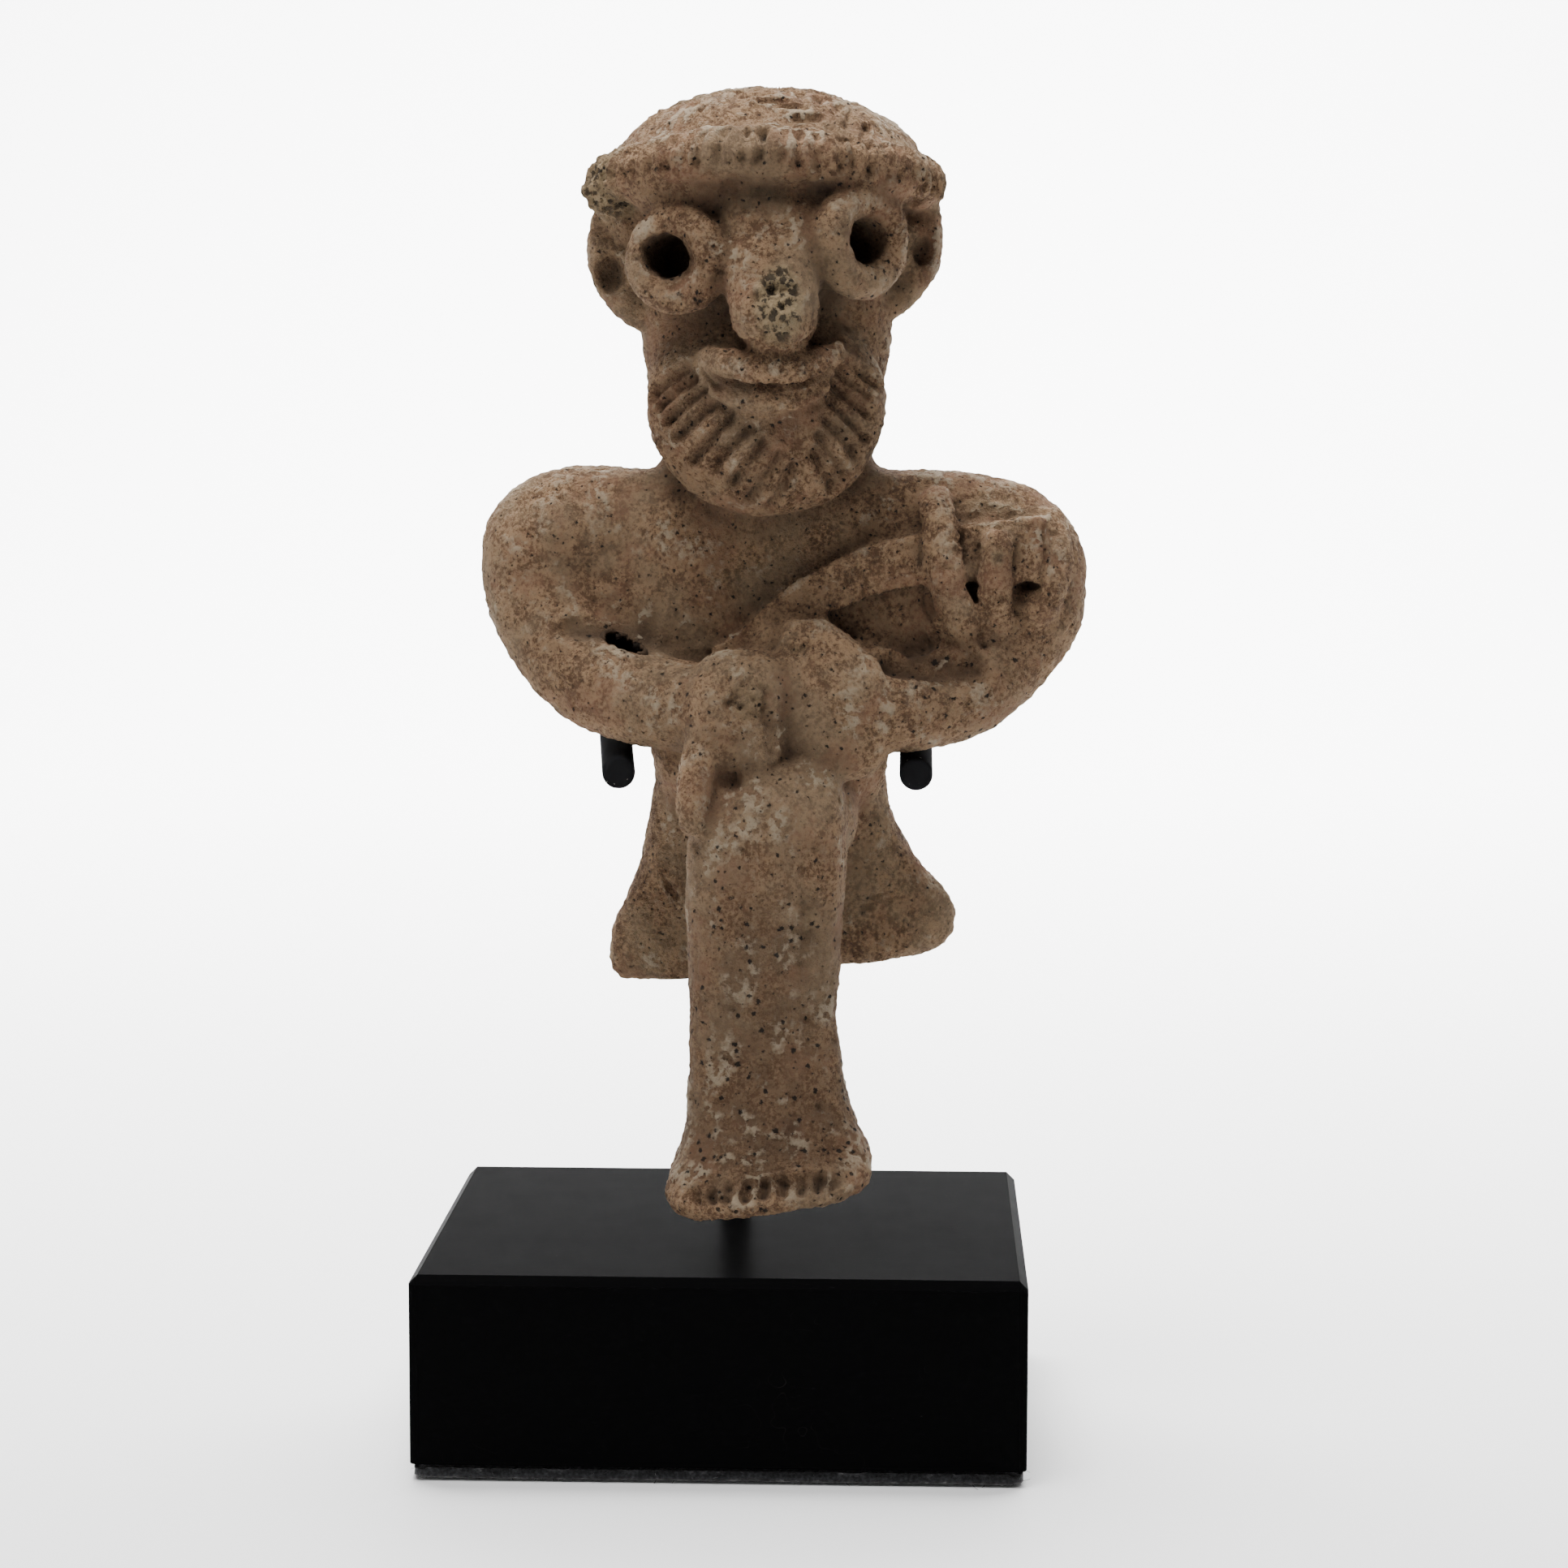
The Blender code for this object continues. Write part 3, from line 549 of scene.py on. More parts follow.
nose = drawn(
    [
        (126, 0.9, -21, 2.6, 4.2),
        (127.2, 0.8, -21.4, 4.6, 6.4),
        (130, 0.6, -21, 6.1, 8.0),
        (134.4, 0.4, -19.6, 6.7, 8.0),
        (140, 0.2, -17.6, 6.8, 6.8),
        (145, 0.1, -16.2, 8.0, 5.6),
        (151, 0, -15, 9.8, 4.4),
    ],
    squareness=2.6,
)
jaw = ball((-0.9, -10.6, 118), (17.9, 10.6, 16.8), (-7, 0, 0))
upper_lip = roll(
    [
        (-8.8, -18.6, 124.6),
        (-5.4, -22.2, 123.3),
        (0.4, -24.2, 122.7),
        (6, -22.2, 123.5),
        (9.4, -18.6, 125),
    ],
    [2.0, 2.6, 2.9, 2.6, 2.0],
)
lower_lip = roll(
    [
        (-8.4, -18.4, 120.4),
        (-5, -21.6, 118.6),
        (0.4, -23, 117.9),
        (5.4, -21.6, 118.8),
        (8.2, -18.4, 120.8),
    ],
    [1.5, 2.1, 2.2, 2.1, 1.5],
)
ear_radii = [2.6, 3.0, 3.0, 2.6]
ears = [
    *roll([(-25.2, -1, 145.4), (-26.4, -2, 140), (-24.6, -3, 134), (-19.8, -4, 131.4)], ear_radii),
    *roll([(22.2, -1, 148), (23.4, -2, 142), (21.6, -3, 136), (17, -4, 133)], ear_radii),
    ball((-21.6, -3, 138.6), (4.4, 3.4, 6.4)),
    ball((18.6, -3, 140.6), (4.4, 3.4, 6.4)),
]
rings = [lump for centre, radius, turned, _, _ in EYES for lump in eye(centre, radius, turned)]
around = range(0, 360, 15)
rim = roll([rim_point(degrees) for degrees in around], [RIM_ROLL] * len(around), closed=True)
torn_end = ball((-24.4, -6, 149.4), (3.9, 5, 3.8))
face_lumps = [nose, jaw, *upper_lip, *lower_lip, *ears, *rings, *rim, torn_end]


# Hands and axe. Two mitten fists hold a flat strip of clay that is the haft. Three tangs are bent
# over it from the front and pressed into a wide crescent blade that lies along the chest below it.
STRAP_SLICES = 60
HAFT_LEAN = 0.4

right_fist = drawn(
    [
        (62.6, -4.2, -20.4, 5.4, 4.4),
        (65.4, -4.6, -20.8, 7.4, 5.8),
        (74, -4.8, -21, 7.6, 6),
        (79.6, -4.2, -19.4, 6.2, 5),
        (82, -4, -18, 3.6, 3),
    ],
    squareness=2.8,
)
left_fist = drawn(
    [
        (62.8, 9.4, -17, 5.4, 4),
        (66.6, 9.6, -18, 8, 5.4),
        (76, 9, -18.2, 9, 5.6),
        (82.4, 7.4, -16.8, 6.4, 4.6),
        (86.4, 5.2, -15.4, 3, 3),
    ],
    squareness=2.8,
)
finger = roll([(-9.4, -24.2, 66.5), (-10.6, -27.2, 62), (-10.8, -28.6, 57.4)], [3.2, 3.0, 2.3])
knuckle = ball((1, -13.6, 81.6), (4.6, 3.4, 4.2))
hand_back = ball((15.5, -13.6, 78.6), (6.8, 4.0, 3.6), (0, 18, 0))


def strap(stations, thickness, lean):
    """A flat strip of clay through stations of (x, face, height, half width), its top edge leant back."""
    bpy.ops.mesh.primitive_grid_add(x_subdivisions=STRAP_SLICES, y_subdivisions=6, size=2)
    made = bpy.context.object
    for vert in made.data.vertices:
        along, aside = (vert.co.x + 1) / 2 * (len(stations) - 1), vert.co.y
        x, face, height, half_width = between(stations, along)
        vert.co = (x, face + lean * aside, height + aside * half_width)
    with_modifier(made, "SOLIDIFY", thickness=thickness, offset=-1)
    return made


haft_stations = [
    (-9, -13.6, 79.6, 1.9),
    (-4.5, -13.6, 82.4, 2.6),
    (1.3, -13.6, 86.7, 3.3),
    (9, -13.6, 90.8, 3.9),
    (18.5, -13.6, 94.2, 3.9),
    (28, -13.6, 96, 4.2),
    (41, -13.4, 96.8, 5.0),
]
blade_stations = [
    (8, -11.6, 86.6, 1.6),
    (13, -12, 86, 3.2),
    (19, -12.2, 86.3, 5.1),
    (26, -12.2, 87, 6),
    (33, -12.2, 87.6, 5.4),
    (40, -11.4, 88.6, 3.6),
]
haft = strap(haft_stations, 5, HAFT_LEAN)
blade = strap(blade_stations, 4, 0)
blade_edge = roll([(26, -11, 84.6), (34, -10.8, 83.8), (40, -10, 86.4)], [3, 3.2, 2.4])
tangs = []
for tang in (
    [(24.6, -10, 103.4, 2.6), (25, -14.6, 100, 2.9), (25.6, -15.2, 92.4, 2.8), (28.6, -13.4, 85.4, 2.9)],
    [(33.6, -14.2, 97.6, 2.2), (33.4, -15, 94, 2.5), (33, -14.4, 90.6, 2.3), (34, -12.8, 86, 2.8)],
    [(41.8, -6.4, 100.6, 2.4), (43.2, -9.8, 96.4, 2.6), (43, -11.4, 91, 2.6), (39.6, -11.8, 87, 2.4)],
):
    tangs += roll([stop[:3] for stop in tang], [stop[3] for stop in tang])
hand_lumps = [right_fist, left_fist, *finger, knuckle, hand_back, haft, *tangs, blade, *blade_edge]


# One skin. The lumps are smoothed into each other with wet fingers, then the pupils, the ears, the
# crook of the arm and the axe's two windows are poked through with a round stick.
DETAIL_GRAIN = 0.55
SKIN_GRAIN = 0.46

idol = kneaded(as_one("idol", [body, *face_lumps, *hand_lumps]), DETAIL_GRAIN, 2)
pokes = []
for centre, _, turned, pupil, aside in EYES:
    middle, facing = Vector(centre) + Vector(aside), outwards(turned)
    pokes += roll([middle + facing * 5, middle - facing * 9], [pupil, pupil * 0.9])
pokes += [
    ball((-24.8, -6, 137.4), (2.5, 4, 3.1)),
    ball((22.4, -5.6, 141.2), (1.8, 2.7, 3)),
    ball((-21.8, -9.6, 81.5), (4.2, 6.0, 1.35), (0, 26, 0)),
    ball((29.8, -13.4, 91.2), (1.9, 3.6, 0.9)),
    ball((30.2, -13.4, 89.8), (0.9, 3.6, 1.9), (0, -18, 0)),
    ball((38.2, -12.4, 91.2), (2.4, 3.4, 0.7)),
]
sticks = kneaded(as_one("sticks", pokes), DETAIL_GRAIN, 1)
with_modifier(idol, "BOOLEAN", operation="DIFFERENCE", object=sticks)
bpy.data.objects.remove(sticks)
kneaded(idol, SKIN_GRAIN, 2)


# Tool marks. Beard, moustache line, rim, cap and toes are cut with the edge of a stick while the
# clay is soft, which also pushes a small lip up on either side of each stroke. A thumb leaves dips.
# A stroke is the points it follows, its half width and its depth.
LIP_SHARE = 0.25
STROKE_REACH = 3.0


def positions(piece):
    points = np.empty(len(piece.data.vertices) * 3, np.float32)
    piece.data.vertices.foreach_get("co", points)
    return points.reshape(-1, 3).astype(float)


def skin_normals(piece):
    normals = np.empty(len(piece.data.vertices) * 3, np.float32)
    piece.data.vertices.foreach_get("normal", normals)
    return normals.reshape(-1, 3).astype(float)


def pressed(piece, strokes):
    """Presses a tool into the clay along strokes of (points, half width, depth), snapped to the skin."""
    points = positions(piece)
    skin = BVHTree.FromObject(piece, bpy.context.evaluated_depsgraph_get())
    sunk, raised = np.zeros(len(points)), np.zeros(len(points))
    for path, half_width, depth in strokes:
        snapped = [np.array(skin.find_nearest(point)[0]) for point in path]
        reach = STROKE_REACH * half_width
        low, high = np.min(snapped, axis=0) - reach, np.max(snapped, axis=0) + reach
        near = np.flatnonzero(np.all((points > low) & (points < high), axis=1))
        nearby = points[near]
        away = np.full(len(near), np.inf)
        for start, end in zip(snapped, snapped[1:]):
            run = end - start
            share = np.clip((nearby - start) @ run / max(run @ run, 1e-9), 0, 1)
            distance = np.linalg.norm(nearby - start - share[:, None] * run, axis=1)
            away = np.minimum(away, distance / half_width)
        sunk[near] = np.maximum(sunk[near], np.clip(1 - away**2, 0, 1) ** 1.4 * depth)
        lip = np.exp(-(((away - 1.35) / 0.35) ** 2)) * depth * LIP_SHARE
        raised[near] = np.maximum(raised[near], lip)
    sunk -= raised * (sunk == 0)
    moved = points - skin_normals(piece) * sunk[:, None]
    piece.data.vertices.foreach_set("co", moved.ravel())
    piece.data.update()


def fan(draw, count, starts, angles, length):
    """Beard strokes side by side from a straight row of starts, none quite like the next."""
    strokes = []
    for share in np.linspace(0, 1, count):
        x, z = (1 - share) * np.array(starts[0]) + share * np.array(starts[1])
        turn = math.radians((1 - share) * angles[0] + share * angles[1] + draw.uniform(-4, 4))
        reach = length + draw.uniform(-0.8, 0.8)
        end = (x + reach * math.cos(turn), -15, z + reach * math.sin(turn))
        strokes.append(([(x, -19, z), end], draw.uniform(1.0, 1.3), draw.uniform(1.1, 1.6)))
    return strokes


draw = random.Random(11)
beard = fan(draw, 9, ((-13.6, 123.6), (3.4, 109.4)), (221, 233), 6)
beard += fan(draw, 7, ((11, 125.6), (6.4, 111.2)), (-46, -60), 5.8)
between_lips = [(-8.6, -21, 122.6), (-5, -23.5, 120.8), (0.4, -25, 120), (5.6, -23.5, 121), (9, -21, 123)]
below_lips = [(-9.6, -19, 119), (-5.6, -22, 116.6), (0.4, -24, 115.4), (6, -22, 116.8), (9.2, -19, 119.4)]
below_nose = [(-5.4, -19, 129.4), (-3.4, -25, 126.6), (0.9, -28, 125), (5, -25, 126.8), (7, -19, 129.6)]
creases = [(between_lips, 0.7, 1.1), (below_lips, 1.0, 0.6), (below_nose, 0.7, 0.8)]
rim_cuts = []
for degrees in np.arange(0, 360, 6.2):
    turn = degrees + draw.uniform(-1.2, 1.2)
    cut_depth = draw.uniform(0.6, 1.4)
    low, high = rim_point(turn, 3.4, draw.uniform(-1.6, -0.6)), rim_point(turn + 0.8, 2.6, 3.4)
    rim_cuts.append(([low, high], draw.uniform(0.75, 1.05), cut_depth * 0.9))
ridge_start, ridge_end = Vector((-7, -4, 166)), Vector((13, -20, 158))
along = (ridge_end - ridge_start).normalized()
aside = along.cross(Vector((0, 0, 1))).normalized()
plait = [([ridge_start + side * aside * 1.1, ridge_end + side * aside * 1.1], 0.8, 0.5) for side in (-1, 1)]
for share in np.linspace(0, 1, 9):
    root = ridge_start.lerp(ridge_end, share)
    for side in (-1, 1):
        near_end = root + side * aside * 1.6
        far_end = root + side * aside * draw.uniform(3.4, 5.4) - along * draw.uniform(1.4, 3)
        plait.append(([near_end, far_end], draw.uniform(0.7, 1.0), draw.uniform(0.5, 1.0)))
crown_jabs = []
for _ in range(64):
    turn, reach = draw.uniform(0, 360), draw.uniform(0.25, 0.85)
    spot = Vector(rim_point(turn, 0, 10)).lerp(Vector((-1, -2.5, 167)), 1 - reach)
    tail = spot + (spot - Vector((-1, -2.5, 160))).normalized() * draw.uniform(1.2, 2.6)
    crown_jabs.append(([spot, tail], draw.uniform(0.5, 0.85), draw.uniform(0.5, 1.1)))
toes = []
for toe in range(9):
    x = -11.3 + 2.8 * toe
    lift = 0.13 * x + draw.uniform(-0.2, 0.2)
    toes.append(([(x, -39, 5.1 + lift), (x + 0.2, -37.5, 6.6 + lift)], 1.15, draw.uniform(1.1, 1.6)))
toe_line = [([(-12.5, -38, 5.8), (0, -39, 7.4), (12.6, -38, 9.0)], 1.3, 0.4)]
dips = [
    ([(-30, -11, 83.2), (-25, -12, 83), (-19, -14, 80.2)], 2.2, 1.0),
    ([(18.6, -18, 79.9), (24, -18, 79.3), (29.5, -16, 78.6)], 2.8, 1.6),
]
haft_creases = [
    ([(-6, -12, 85.2), (1, -12, 90.4), (8.6, -12, 95), (18, -12, 98.6), (22, -12, 99.6)], 0.9, 1.0),
    ([(3, -13, 83.6), (9, -13, 86.6), (18.4, -13, 90), (22.6, -13, 91.2)], 0.8, 1.0),
    ([(28.4, -12, 101), (36, -12, 101.6)], 0.7, 0.5),
]
tang_creases = [
    ([(21.6, -13, 101), (22, -13.4, 95), (22.8, -13, 88), (25.2, -12.6, 83.6)], 0.65, 0.7),
    ([(28.2, -13, 99), (28.6, -13.6, 94.4)], 0.65, 0.8),
    ([(31.2, -13, 97), (31, -13.6, 93), (31.2, -13, 87)], 0.6, 0.7),
    ([(35.6, -13, 97), (35.6, -13.6, 93), (36.6, -13, 87)], 0.6, 0.7),
    ([(40.4, -12.6, 100), (40.6, -13, 94), (40, -12.6, 89)], 0.6, 0.6),
]
cracks = [
    ([(22.4, -19, 93.4), (25, -20, 94.4), (27.8, -19, 94.2)], 0.35, 0.45),
    ([(31.8, -19, 88.8), (34, -20, 88.4), (36.3, -19, 89.4)], 0.4, 0.5),
    ([(2.0, -30, 77.4), (2.4, -30, 72), (2.7, -30, 67.0)], 1.1, 0.6),
    ([(-18.4, -6, 44.8), (-16, -6, 42.2)], 0.7, 0.8),
]
pressed(idol, dips + beard + creases + rim_cuts + plait + crown_jabs)
pressed(idol, toes + toe_line + haft_creases + tang_creases + cracks)


# Wear. Four thousand years in the ground left the skin lumpy and pitted: tempering that burnt out or
# fell out left pores, and the torn rim end, nose, fist and leg are broken or eaten away.
# A lump is its size, its roughness and its height; a scar its middle, radii, depth and rawness.
LUMPS = [(9, 1, 0.9), (3.2, 2, 0.35), (1.3, 2, 0.75)]
PORES, PORE_RADIUS, PORE_SPREAD = 520, 0.3, 0.4
FIGURE_TRIANGLES = 196000
SCARS = [
    ((-24.2, -8, 150.4), (8.6, 9, 8.0), 0.8, 0.7),
    ((1.6, -27.5, 132.6), (4.8, 6, 8.2), 0.8, 1.0),
    ((-2.6, -27, 75.2), (5.8, 4.6, 5.8), 0.9, 0.4),
    ((4.6, -20, 82), (2.8, 4, 1.6), 0.8, 0.4),
    ((6.4, -30.5, 43), (2.6, 4, 6.4), 0.7, 0.3),
    ((32, -9, 103), (9, 5, 2.4), 0.4, 0.3),
    ((-10.3, -20.5, 137.4), (1.7, 3, 1.6), 1.2, 0.2),
    ((-10.6, -27.4, 60), (2.4, 3, 6), 0.6, 0.4),
    ((33.6, -17.2, 95.6), (2.2, 3, 2.6), 0.5, 0.5),
]


def within(points, middle, radii):
    """How far each point is inside an oval place, from 0 at its edge to 1 in its core."""
    return np.clip(1.6 - 1.6 * np.linalg.norm((points - middle) / radii, axis=1), 0, 1)


def scar_share(points):
    """How much each point is in a broken place, how deep that is there, and how raw it looks."""
    share, depth, raw = (np.zeros(len(points)) for _ in range(3))
    for middle, radii, deep, rawness in SCARS:
        inside = within(points, middle, radii)
        depth = np.maximum(depth, inside * deep)
        share = np.maximum(share, inside)
        raw = np.maximum(raw, inside * rawness)
    return share, depth, raw


for size, roughness, height in LUMPS:
    with_modifier(idol, "DISPLACE", texture=clouds(size, roughness), strength=height, mid_level=0.5)
points, normals = positions(idol), skin_normals(idol)
share, sunk, _ = scar_share(points)
for index in np.flatnonzero(share > 0.01):
    rough = noise.noise(points[index] * 0.45) + 0.8 * noise.noise(points[index] * 1.1)
    sunk[index] *= 0.3 + 1.2 * rough
tree = KDTree(len(points))
for index, point in enumerate(points):
    tree.insert(point, index)
tree.balance()
pores = []
for _ in range(PORES):
    middle = points[draw.randrange(len(points))]
    radius = PORE_RADIUS + PORE_SPREAD * draw.random() ** 3
    pores.append((middle, radius))
pores += [(np.array(middle), radius) for middle, radius in (
    ((1.4, -22.5, 149.4), 1.0),
    ((-4.9, -27, 63.4), 1.4),
    ((20.6, -10, 147.4), 1.6),
    ((7.6, -21.5, 112), 0.7),
    ((29, -17.8, 98), 0.5),
)]
for middle, radius in pores:
    for point, index, away in tree.find_range(middle, radius * 1.5):
        ragged = radius * (1.25 + 0.5 * noise.noise(point * 1.7))
        sunk[index] += 0.9 * radius * max(0.0, 1 - (away / ragged) ** 2)
moved = points - normals * sunk[:, None]
idol.data.vertices.foreach_set("co", moved.ravel())
idol.data.update()
idol.data.calc_loop_triangles()
with_modifier(idol, "DECIMATE", ratio=FIGURE_TRIANGLES / len(idol.data.loop_triangles))
idol.data.shade_smooth()


# Fired clay. The body is a buff to reddish brown terracotta. Pale lime crust clings to worn high
# places, the pores are dark, and the broken places show a speckled core. Soil brown stains the clay at
# random, and the same brown darkens the hollows and sheltered places as painted shade.
# A chip is its middle and radii, and a place of painted shade has a strength as well.
CHIPS = [
    ((26.8, -18.5, 94.9), (1.5, 3, 1.0)),
    ((34.8, -17.6, 92.2), (1.1, 3, 1.7)),
    ((40.9, -14, 86.6), (1.3, 3, 1.0)),
    ((-5.4, -19, 150.4), (5.5, 5, 1.2)),
    ((17.5, -13, 148.9), (3, 4, 1.2)),
    ((-20, -15, 145.5), (3.2, 5, 2.0)),
]
# Painted shadow in the crook and under the blade, and painted shade over the lower legs, the eyes, the
# beard, the brow under the rim and the hands.
PAINTED_SHADE_PLACES = [
    ((0, -28, 20), (34, 30, 50), 0.6),
    ((24, -13, 80), (7, 6, 2.6), 0.9),
    ((-24, -11, 82.6), (9, 6, 3.4), 0.9),
    ((-4, -22, 70), (17, 14, 14), 0.3),
    ((28, -12, 76), (20, 16, 12), 0.45),
    ((-14, -20, 138), (15, 12, 14), 0.4),
    ((14, -18, 141), (14, 12, 14), 0.3),
    ((-1, -16, 113), (24, 20, 18), 0.3),
    ((0, -20, 151), (34, 10, 6), 0.3),
]
FINE_STROKES, BROAD_STROKES = 5, 70
SHELTER_RAYS, SHELTER_REACH, GOLDEN_TURN = 12, 11.0, 2.4


def smoothed(values, edges, strokes):
    """The rows of values after each has moved half way to the mean of its neighbours so many times."""
    count = np.bincount(edges.ravel(), minlength=len(values))[:, None]
    for _ in range(strokes):
        total = np.empty_like(values)
        for column in range(values.shape[1]):
            there = np.bincount(edges[:, 0], values[edges[:, 1], column], len(values))
            total[:, column] = there + np.bincount(edges[:, 1], values[edges[:, 0], column], len(values))
        values = 0.5 * (values + total / count)
    return values


def sheltered(piece, points, normals):
    """How far the clay itself shuts each point off from the open air, from 0 to 1."""
    skin = BVHTree.FromObject(piece, bpy.context.evaluated_depsgraph_get())
    ways = []
    for ray in range(SHELTER_RAYS):
        rise = 1 - (2 * ray + 1) / SHELTER_RAYS
        turn, wide = GOLDEN_TURN * ray, math.sqrt(1 - rise * rise)
        ways.append(Vector((wide * math.cos(turn), wide * math.sin(turn), rise)))
    hidden = np.zeros(len(points))
    for index, (point, normal) in enumerate(zip(points, normals)):
        normal = Vector(normal)
        start = Vector(point) + normal * 0.5
        for way in ways:
            away = skin.ray_cast(start, normal + 0.98 * way, SHELTER_REACH)[3]
            if away is not None:
                hidden[index] += (1 - away / SHELTER_REACH) / SHELTER_RAYS
    return hidden


def keep(piece, name, values):
    """Keeps one number at each vertex for the material."""
    attribute = piece.data.attributes.new(name, "FLOAT", "POINT")
    attribute.data.foreach_set("value", values.astype(np.float32))


points, normals = positions(idol), skin_normals(idol)
edges = np.empty(len(idol.data.edges) * 2, np.int32)
idol.data.edges.foreach_get("vertices", edges)
edges = edges.reshape(-1, 2)
fine = smoothed(points, edges, FINE_STROKES)
broad = smoothed(fine, edges, BROAD_STROKES)
keep(idol, "nook", ((fine - points) * normals).sum(axis=1))
hollow = ((broad - points) * normals).sum(axis=1)
keep(idol, "hollow", smoothed(hollow[:, None], edges, FINE_STROKES)[:, 0])
# How much the clay shelters each point, which darkens the colour as painted shade.
shade = sheltered(idol, points, normals)
keep(idol, "shade", smoothed(shade[:, None], edges, FINE_STROKES)[:, 0])
keep(idol, "upward", smoothed(normals, edges, 3 * FINE_STROKES)[:, 2])
keep(idol, "raw", scar_share(points)[2])
chip = np.zeros(len(points))
for middle, radii in CHIPS:
    chip = np.maximum(chip, np.clip(1.5 - np.linalg.norm((points - middle) / radii, axis=1), 0, 1))
keep(idol, "chip", chip)
painted_shade = np.zeros(len(points))
for middle, radii, strength in PAINTED_SHADE_PLACES:
    painted_shade = np.maximum(painted_shade, within(points, middle, radii) * strength)
keep(idol, "painted_shade", painted_shade)
idol.data.transform(Matrix.Translation(sole) @ Matrix.Scale(clay_unit, 4))

fired, shader, place = finish_named("fired_clay", Specular_IOR_Level=0.2)


def kept(name):
    return place.node("Attribute", {}, output=2, attribute_name=name)


blotch = place.grain(15 * MM, detail=4, roughness=0.6)
elsewhere = place.node("Mapping", {"Vector": place, "Location": (0.4, 0.1, 0.2)})
other_blotch = elsewhere.grain(9 * MM, detail=5, roughness=0.6)
mottle = place.grain(3.6 * MM, detail=6, roughness=0.62)
grit = place.grain(2.2 * MM, detail=6, roughness=0.76)
speck = place.grain(0.6 * MM, detail=4, roughness=0.8)
buff, brown, grey = (0.37, 0.235, 0.134, 1), (0.115, 0.064, 0.035, 1), (0.27, 0.2, 0.125, 1)
lime, soil_and_shade_brown, dark = (0.48, 0.39, 0.275, 1), (0.068, 0.042, 0.026, 1), (0.012, 0.009, 0.007, 1)
red, core = (0.25, 0.135, 0.08, 1), (0.33, 0.25, 0.145, 1)
nook, hollow, shade, upward, raw = kept("nook"), kept("hollow"), kept("shade"), kept("upward"), kept("raw")
tone = mottle * 0.25 + grit * 0.3 + speck * 0.45
ground = tone.step(0.43, 0.57).colours(brown, buff)
ground = (blotch.step(0.44, 0.62) * 0.45).colours(ground, grey)
ground = ((other_blotch.step(0.5, 0.66) + kept("chip") * 0.5).held() * 0.5).colours(ground, red)
# Soil brown at random, plus painted shade in the hollows, in the places the clay shelters and in the places
# of painted shade.
soil_and_painted_shade = shade * 0.3 + hollow * 0.5 + kept("painted_shade") + (mottle - 0.5) * 1.3 + (tone - 0.5) * 3.0 - 0.03
soil_and_painted_shade = soil_and_painted_shade.held() * 0.85
ground = soil_and_painted_shade.colours(ground, soil_and_shade_brown)
crust_cloud = place.grain(7 * MM, detail=5, roughness=0.7)
crusty = (mottle * 0.4 + crust_cloud * 0.6 + upward * 0.05).step(0.51, 0.63)
crusty = crusty * (grit * 0.6 + speck * 0.5 - nook * 1.6 - shade * 1.5).step(0.5, 0.6)
ground = (crusty * 0.6).colours(ground, lime)
patch = (raw * 1.5 - 0.2 + (grit - 0.5) * 1.6).held() * raw.step(0, 0.5)
ground = (patch * 0.8).colours(ground, core)
burnt = 1 - (place.cells(1.1 * MM) + (grit - 0.5) * 2.4 + (speck - 0.5) * 1.2).step(0.36, 0.56)
burnt = burnt * (raw + (mottle - 0.5) * 0.8).step(0.3, 0.75)
small_holes = 1 - (place.cells(1.2 * MM) + (speck - 0.5) * 0.9).step(0.06, 0.16)
small_holes = small_holes * place.grain(5 * MM, detail=3).step(0.36, 0.5)
# Large pores are also a little thicker where the shade is painted.
large_holes = 1 - (place.cells(2.0 * MM) + (speck - 0.5) * 0.6 - kept("painted_shade") * 0.14).step(0.05, 0.14)
# Pores, holes and burnt specks are near black, and the narrowest creases are darkened towards black as
# painted shade.
black = (small_holes * 0.85 + large_holes + burnt * 0.9 + (nook * 2.4 - 0.45).held()).held()
ground = (black * 0.9).colours(ground, dark)
ground.into(shader, "Base Color")
(0.98 - crusty * 0.12).into(shader, "Roughness")
relief = grit * 1.3 + speck * 1.3 + crusty * 0.3 - small_holes * 0.6 - large_holes * 0.9 - burnt * 0.5
place.node("Bump", {"Height": relief, "Strength": 1.0, "Distance": 0.85 * MM}).into(shader, "Normal")
idol.data.materials.clear()
idol.data.materials.append(fired)
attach(idol, "root")
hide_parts("figure")


# Studio. A pale floor that sweeps up behind, a soft light high above and a little to the left, a
# weak one low in front, a broad one on the sweep, and the camera at the photograph's distance.
LENS_IN_PIXELS, PHOTO_WIDTH, SENSOR = 4400, 1932, 36
CAMERA_PLACE = Vector((0.0272, -0.5419, 0.1589))
CAMERA_TURN, CAMERA_DIP, CAMERA_LEAN = 0.0351, 0.1109, -0.0026
FLOOR_HALF, SWEEP_BACK, SWEEP_RADIUS, SWEEP_HEIGHT = 3.0, 0.9, 0.5, 2.6
SWEEP_STEPS = 12
PAPER, PALE_PAPER = (0.86, 0.86, 0.86, 1), (0.88, 0.88, 0.88, 1)
ROOM_LIGHT = 0.08

camera = bpy.data.objects.new("camera", bpy.data.cameras.new("camera"))
camera.data.sensor_width = SENSOR
camera.data.lens = SENSOR * LENS_IN_PIXELS / PHOTO_WIDTH
turned = Matrix.Rotation(CAMERA_TURN, 3, "Z") @ Matrix.Rotation(-CAMERA_DIP, 3, "X")
turned = turned @ Matrix.Rotation(CAMERA_LEAN, 3, "Y")
basis = Matrix((turned.col[0], turned.col[2], -turned.col[1])).transposed().to_4x4()
camera.matrix_world = Matrix.Translation(CAMERA_PLACE) @ basis
bpy.context.scene.collection.objects.link(camera)
bpy.context.scene.camera = camera

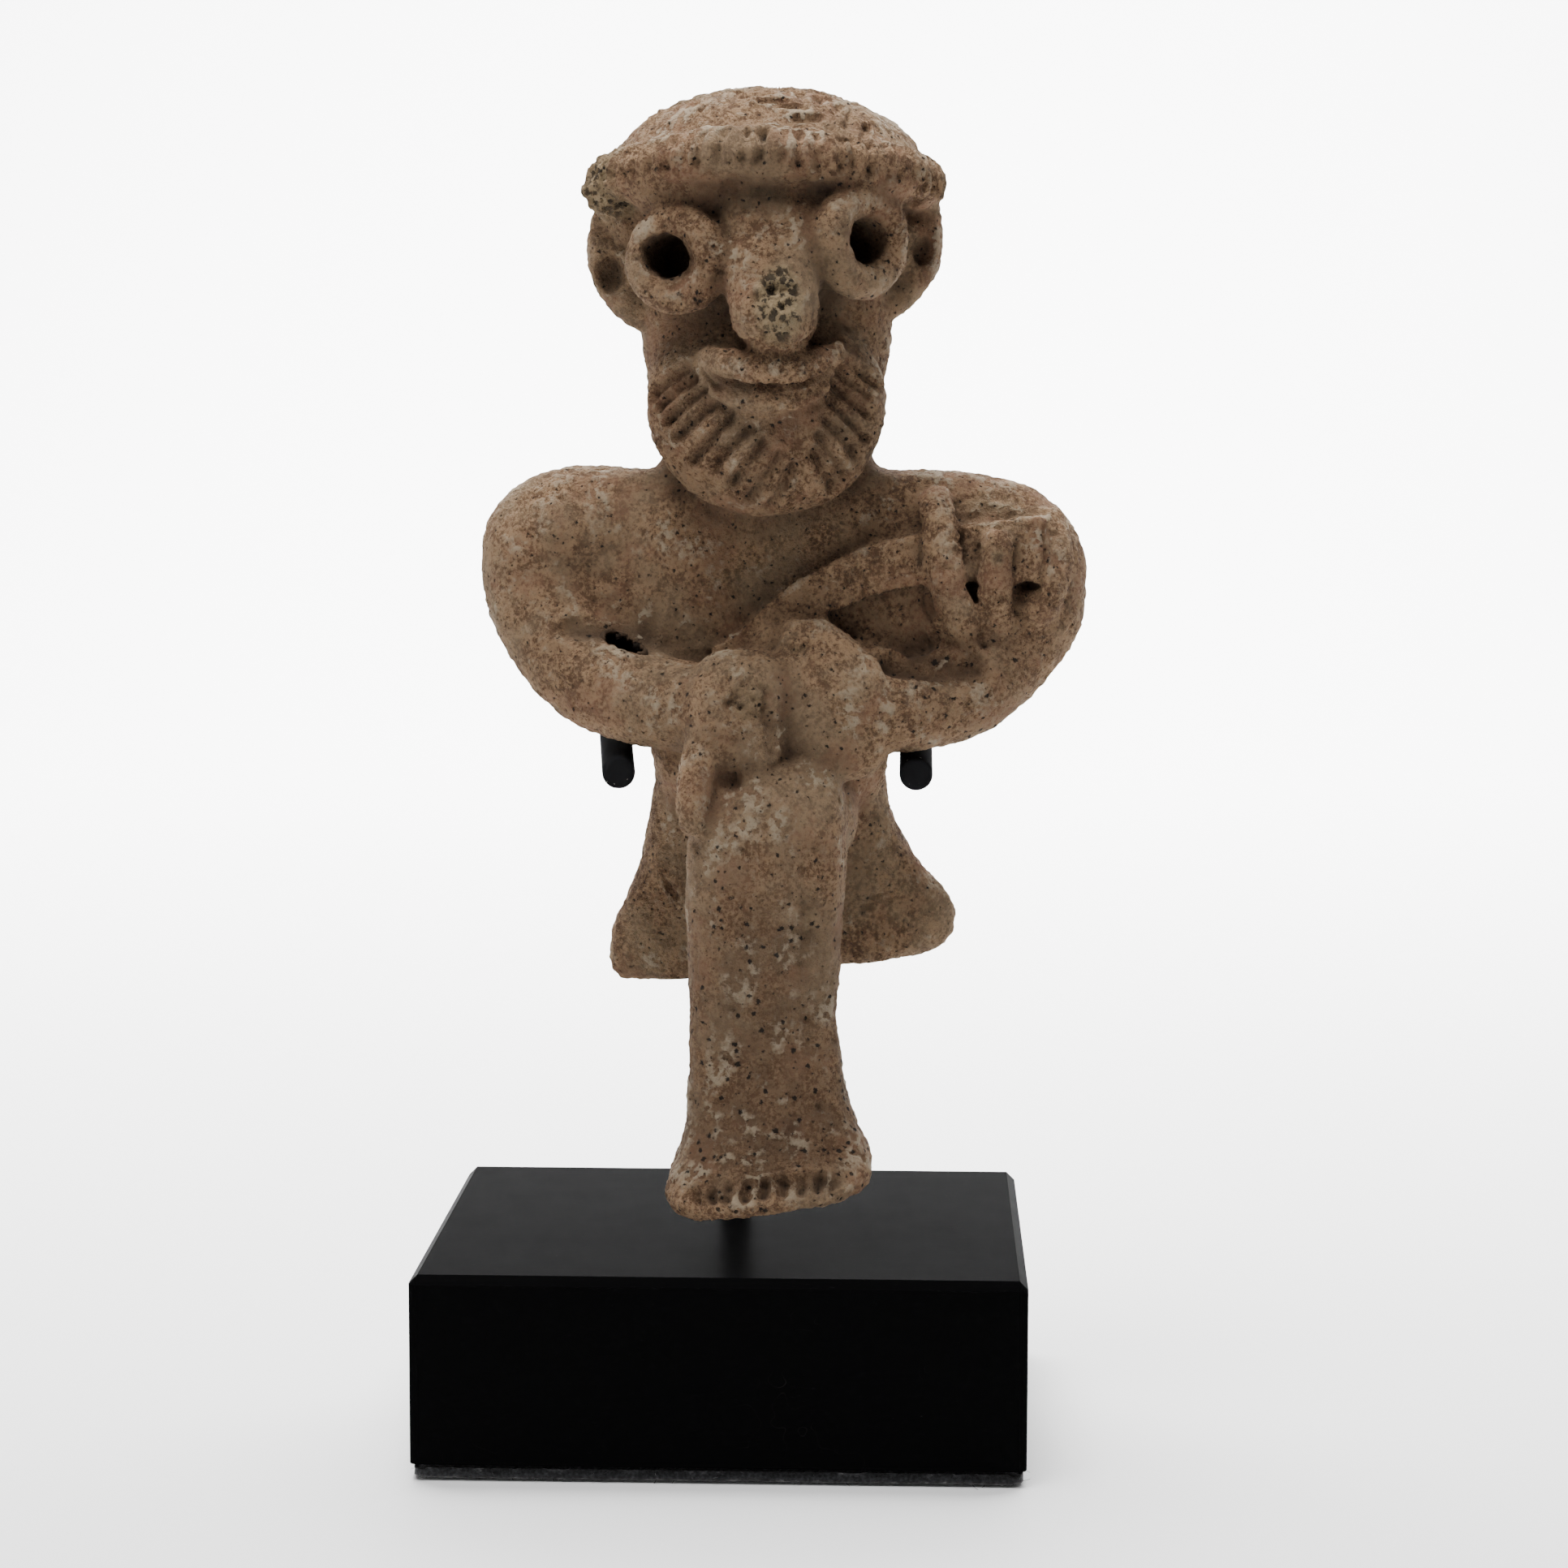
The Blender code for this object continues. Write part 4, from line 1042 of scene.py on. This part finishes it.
bpy.ops.mesh.primitive_plane_add(size=2 * FLOOR_HALF, location=(0, SWEEP_BACK - FLOOR_HALF, 0))
floor = bpy.context.object
floor.name = "floor"
bpy.ops.object.mode_set(mode="EDIT")
bpy.ops.mesh.select_all(action="DESELECT")
bpy.ops.object.mode_set(mode="OBJECT")
for edge in floor.data.edges:
    edge.select = all(floor.data.vertices[index].co.y > 0 for index in edge.vertices)
bpy.ops.object.mode_set(mode="EDIT")
bpy.ops.mesh.select_mode(type="EDGE")
for step in range(1, SWEEP_STEPS + 1):
    here, before = (math.radians(90 * k / SWEEP_STEPS) for k in (step, step - 1))
    rise = SWEEP_RADIUS * (math.cos(before) - math.cos(here))
    back = SWEEP_RADIUS * (math.sin(here) - math.sin(before))
    bpy.ops.mesh.extrude_region_move(TRANSFORM_OT_translate={"value": (0, back, rise)})
bpy.ops.mesh.extrude_region_move(TRANSFORM_OT_translate={"value": (0, 0, SWEEP_HEIGHT)})
bpy.ops.object.mode_set(mode="OBJECT")
bpy.ops.object.transform_apply(location=True, rotation=True, scale=True)
floor.data.shade_smooth()
paper, shader, place = finish_named("pale_paper", Roughness=0.9, Specular_IOR_Level=0.1)
place.grain(0.2).colours(PAPER, PALE_PAPER).into(shader, "Base Color")
floor.data.materials.append(paper)


def soft_light(name, place, aim, size, watts, spread=180):
    light = bpy.data.lights.new(name, "AREA")
    light.shape = "DISK"
    light.size = size
    light.energy = watts
    light.spread = math.radians(spread)
    made = bpy.data.objects.new(name, light)
    made.location = place
    made.rotation_euler = (Vector(place) - Vector(aim)).to_track_quat("Z", "Y").to_euler()
    bpy.context.scene.collection.objects.link(made)


soft_light("key", (-0.08, -0.14, 0.62), (0, 0, 0.12), 0.28, 3.9)
soft_light("fill", (-0.3, -0.6, 0.14), (0, 0, 0.17), 0.4, 0.6)
soft_light("backdrop", (0, 0.6, 1.5), (0, 1.4, 0.45), 1.4, 150, spread=130)
world = bpy.data.worlds.new("studio")
world.use_nodes = True
sky = world.node_tree.nodes["Background"]
sky.inputs["Color"].default_value = (1, 1, 1, 1)
sky.inputs["Strength"].default_value = ROOM_LIGHT
bpy.context.scene.world = world
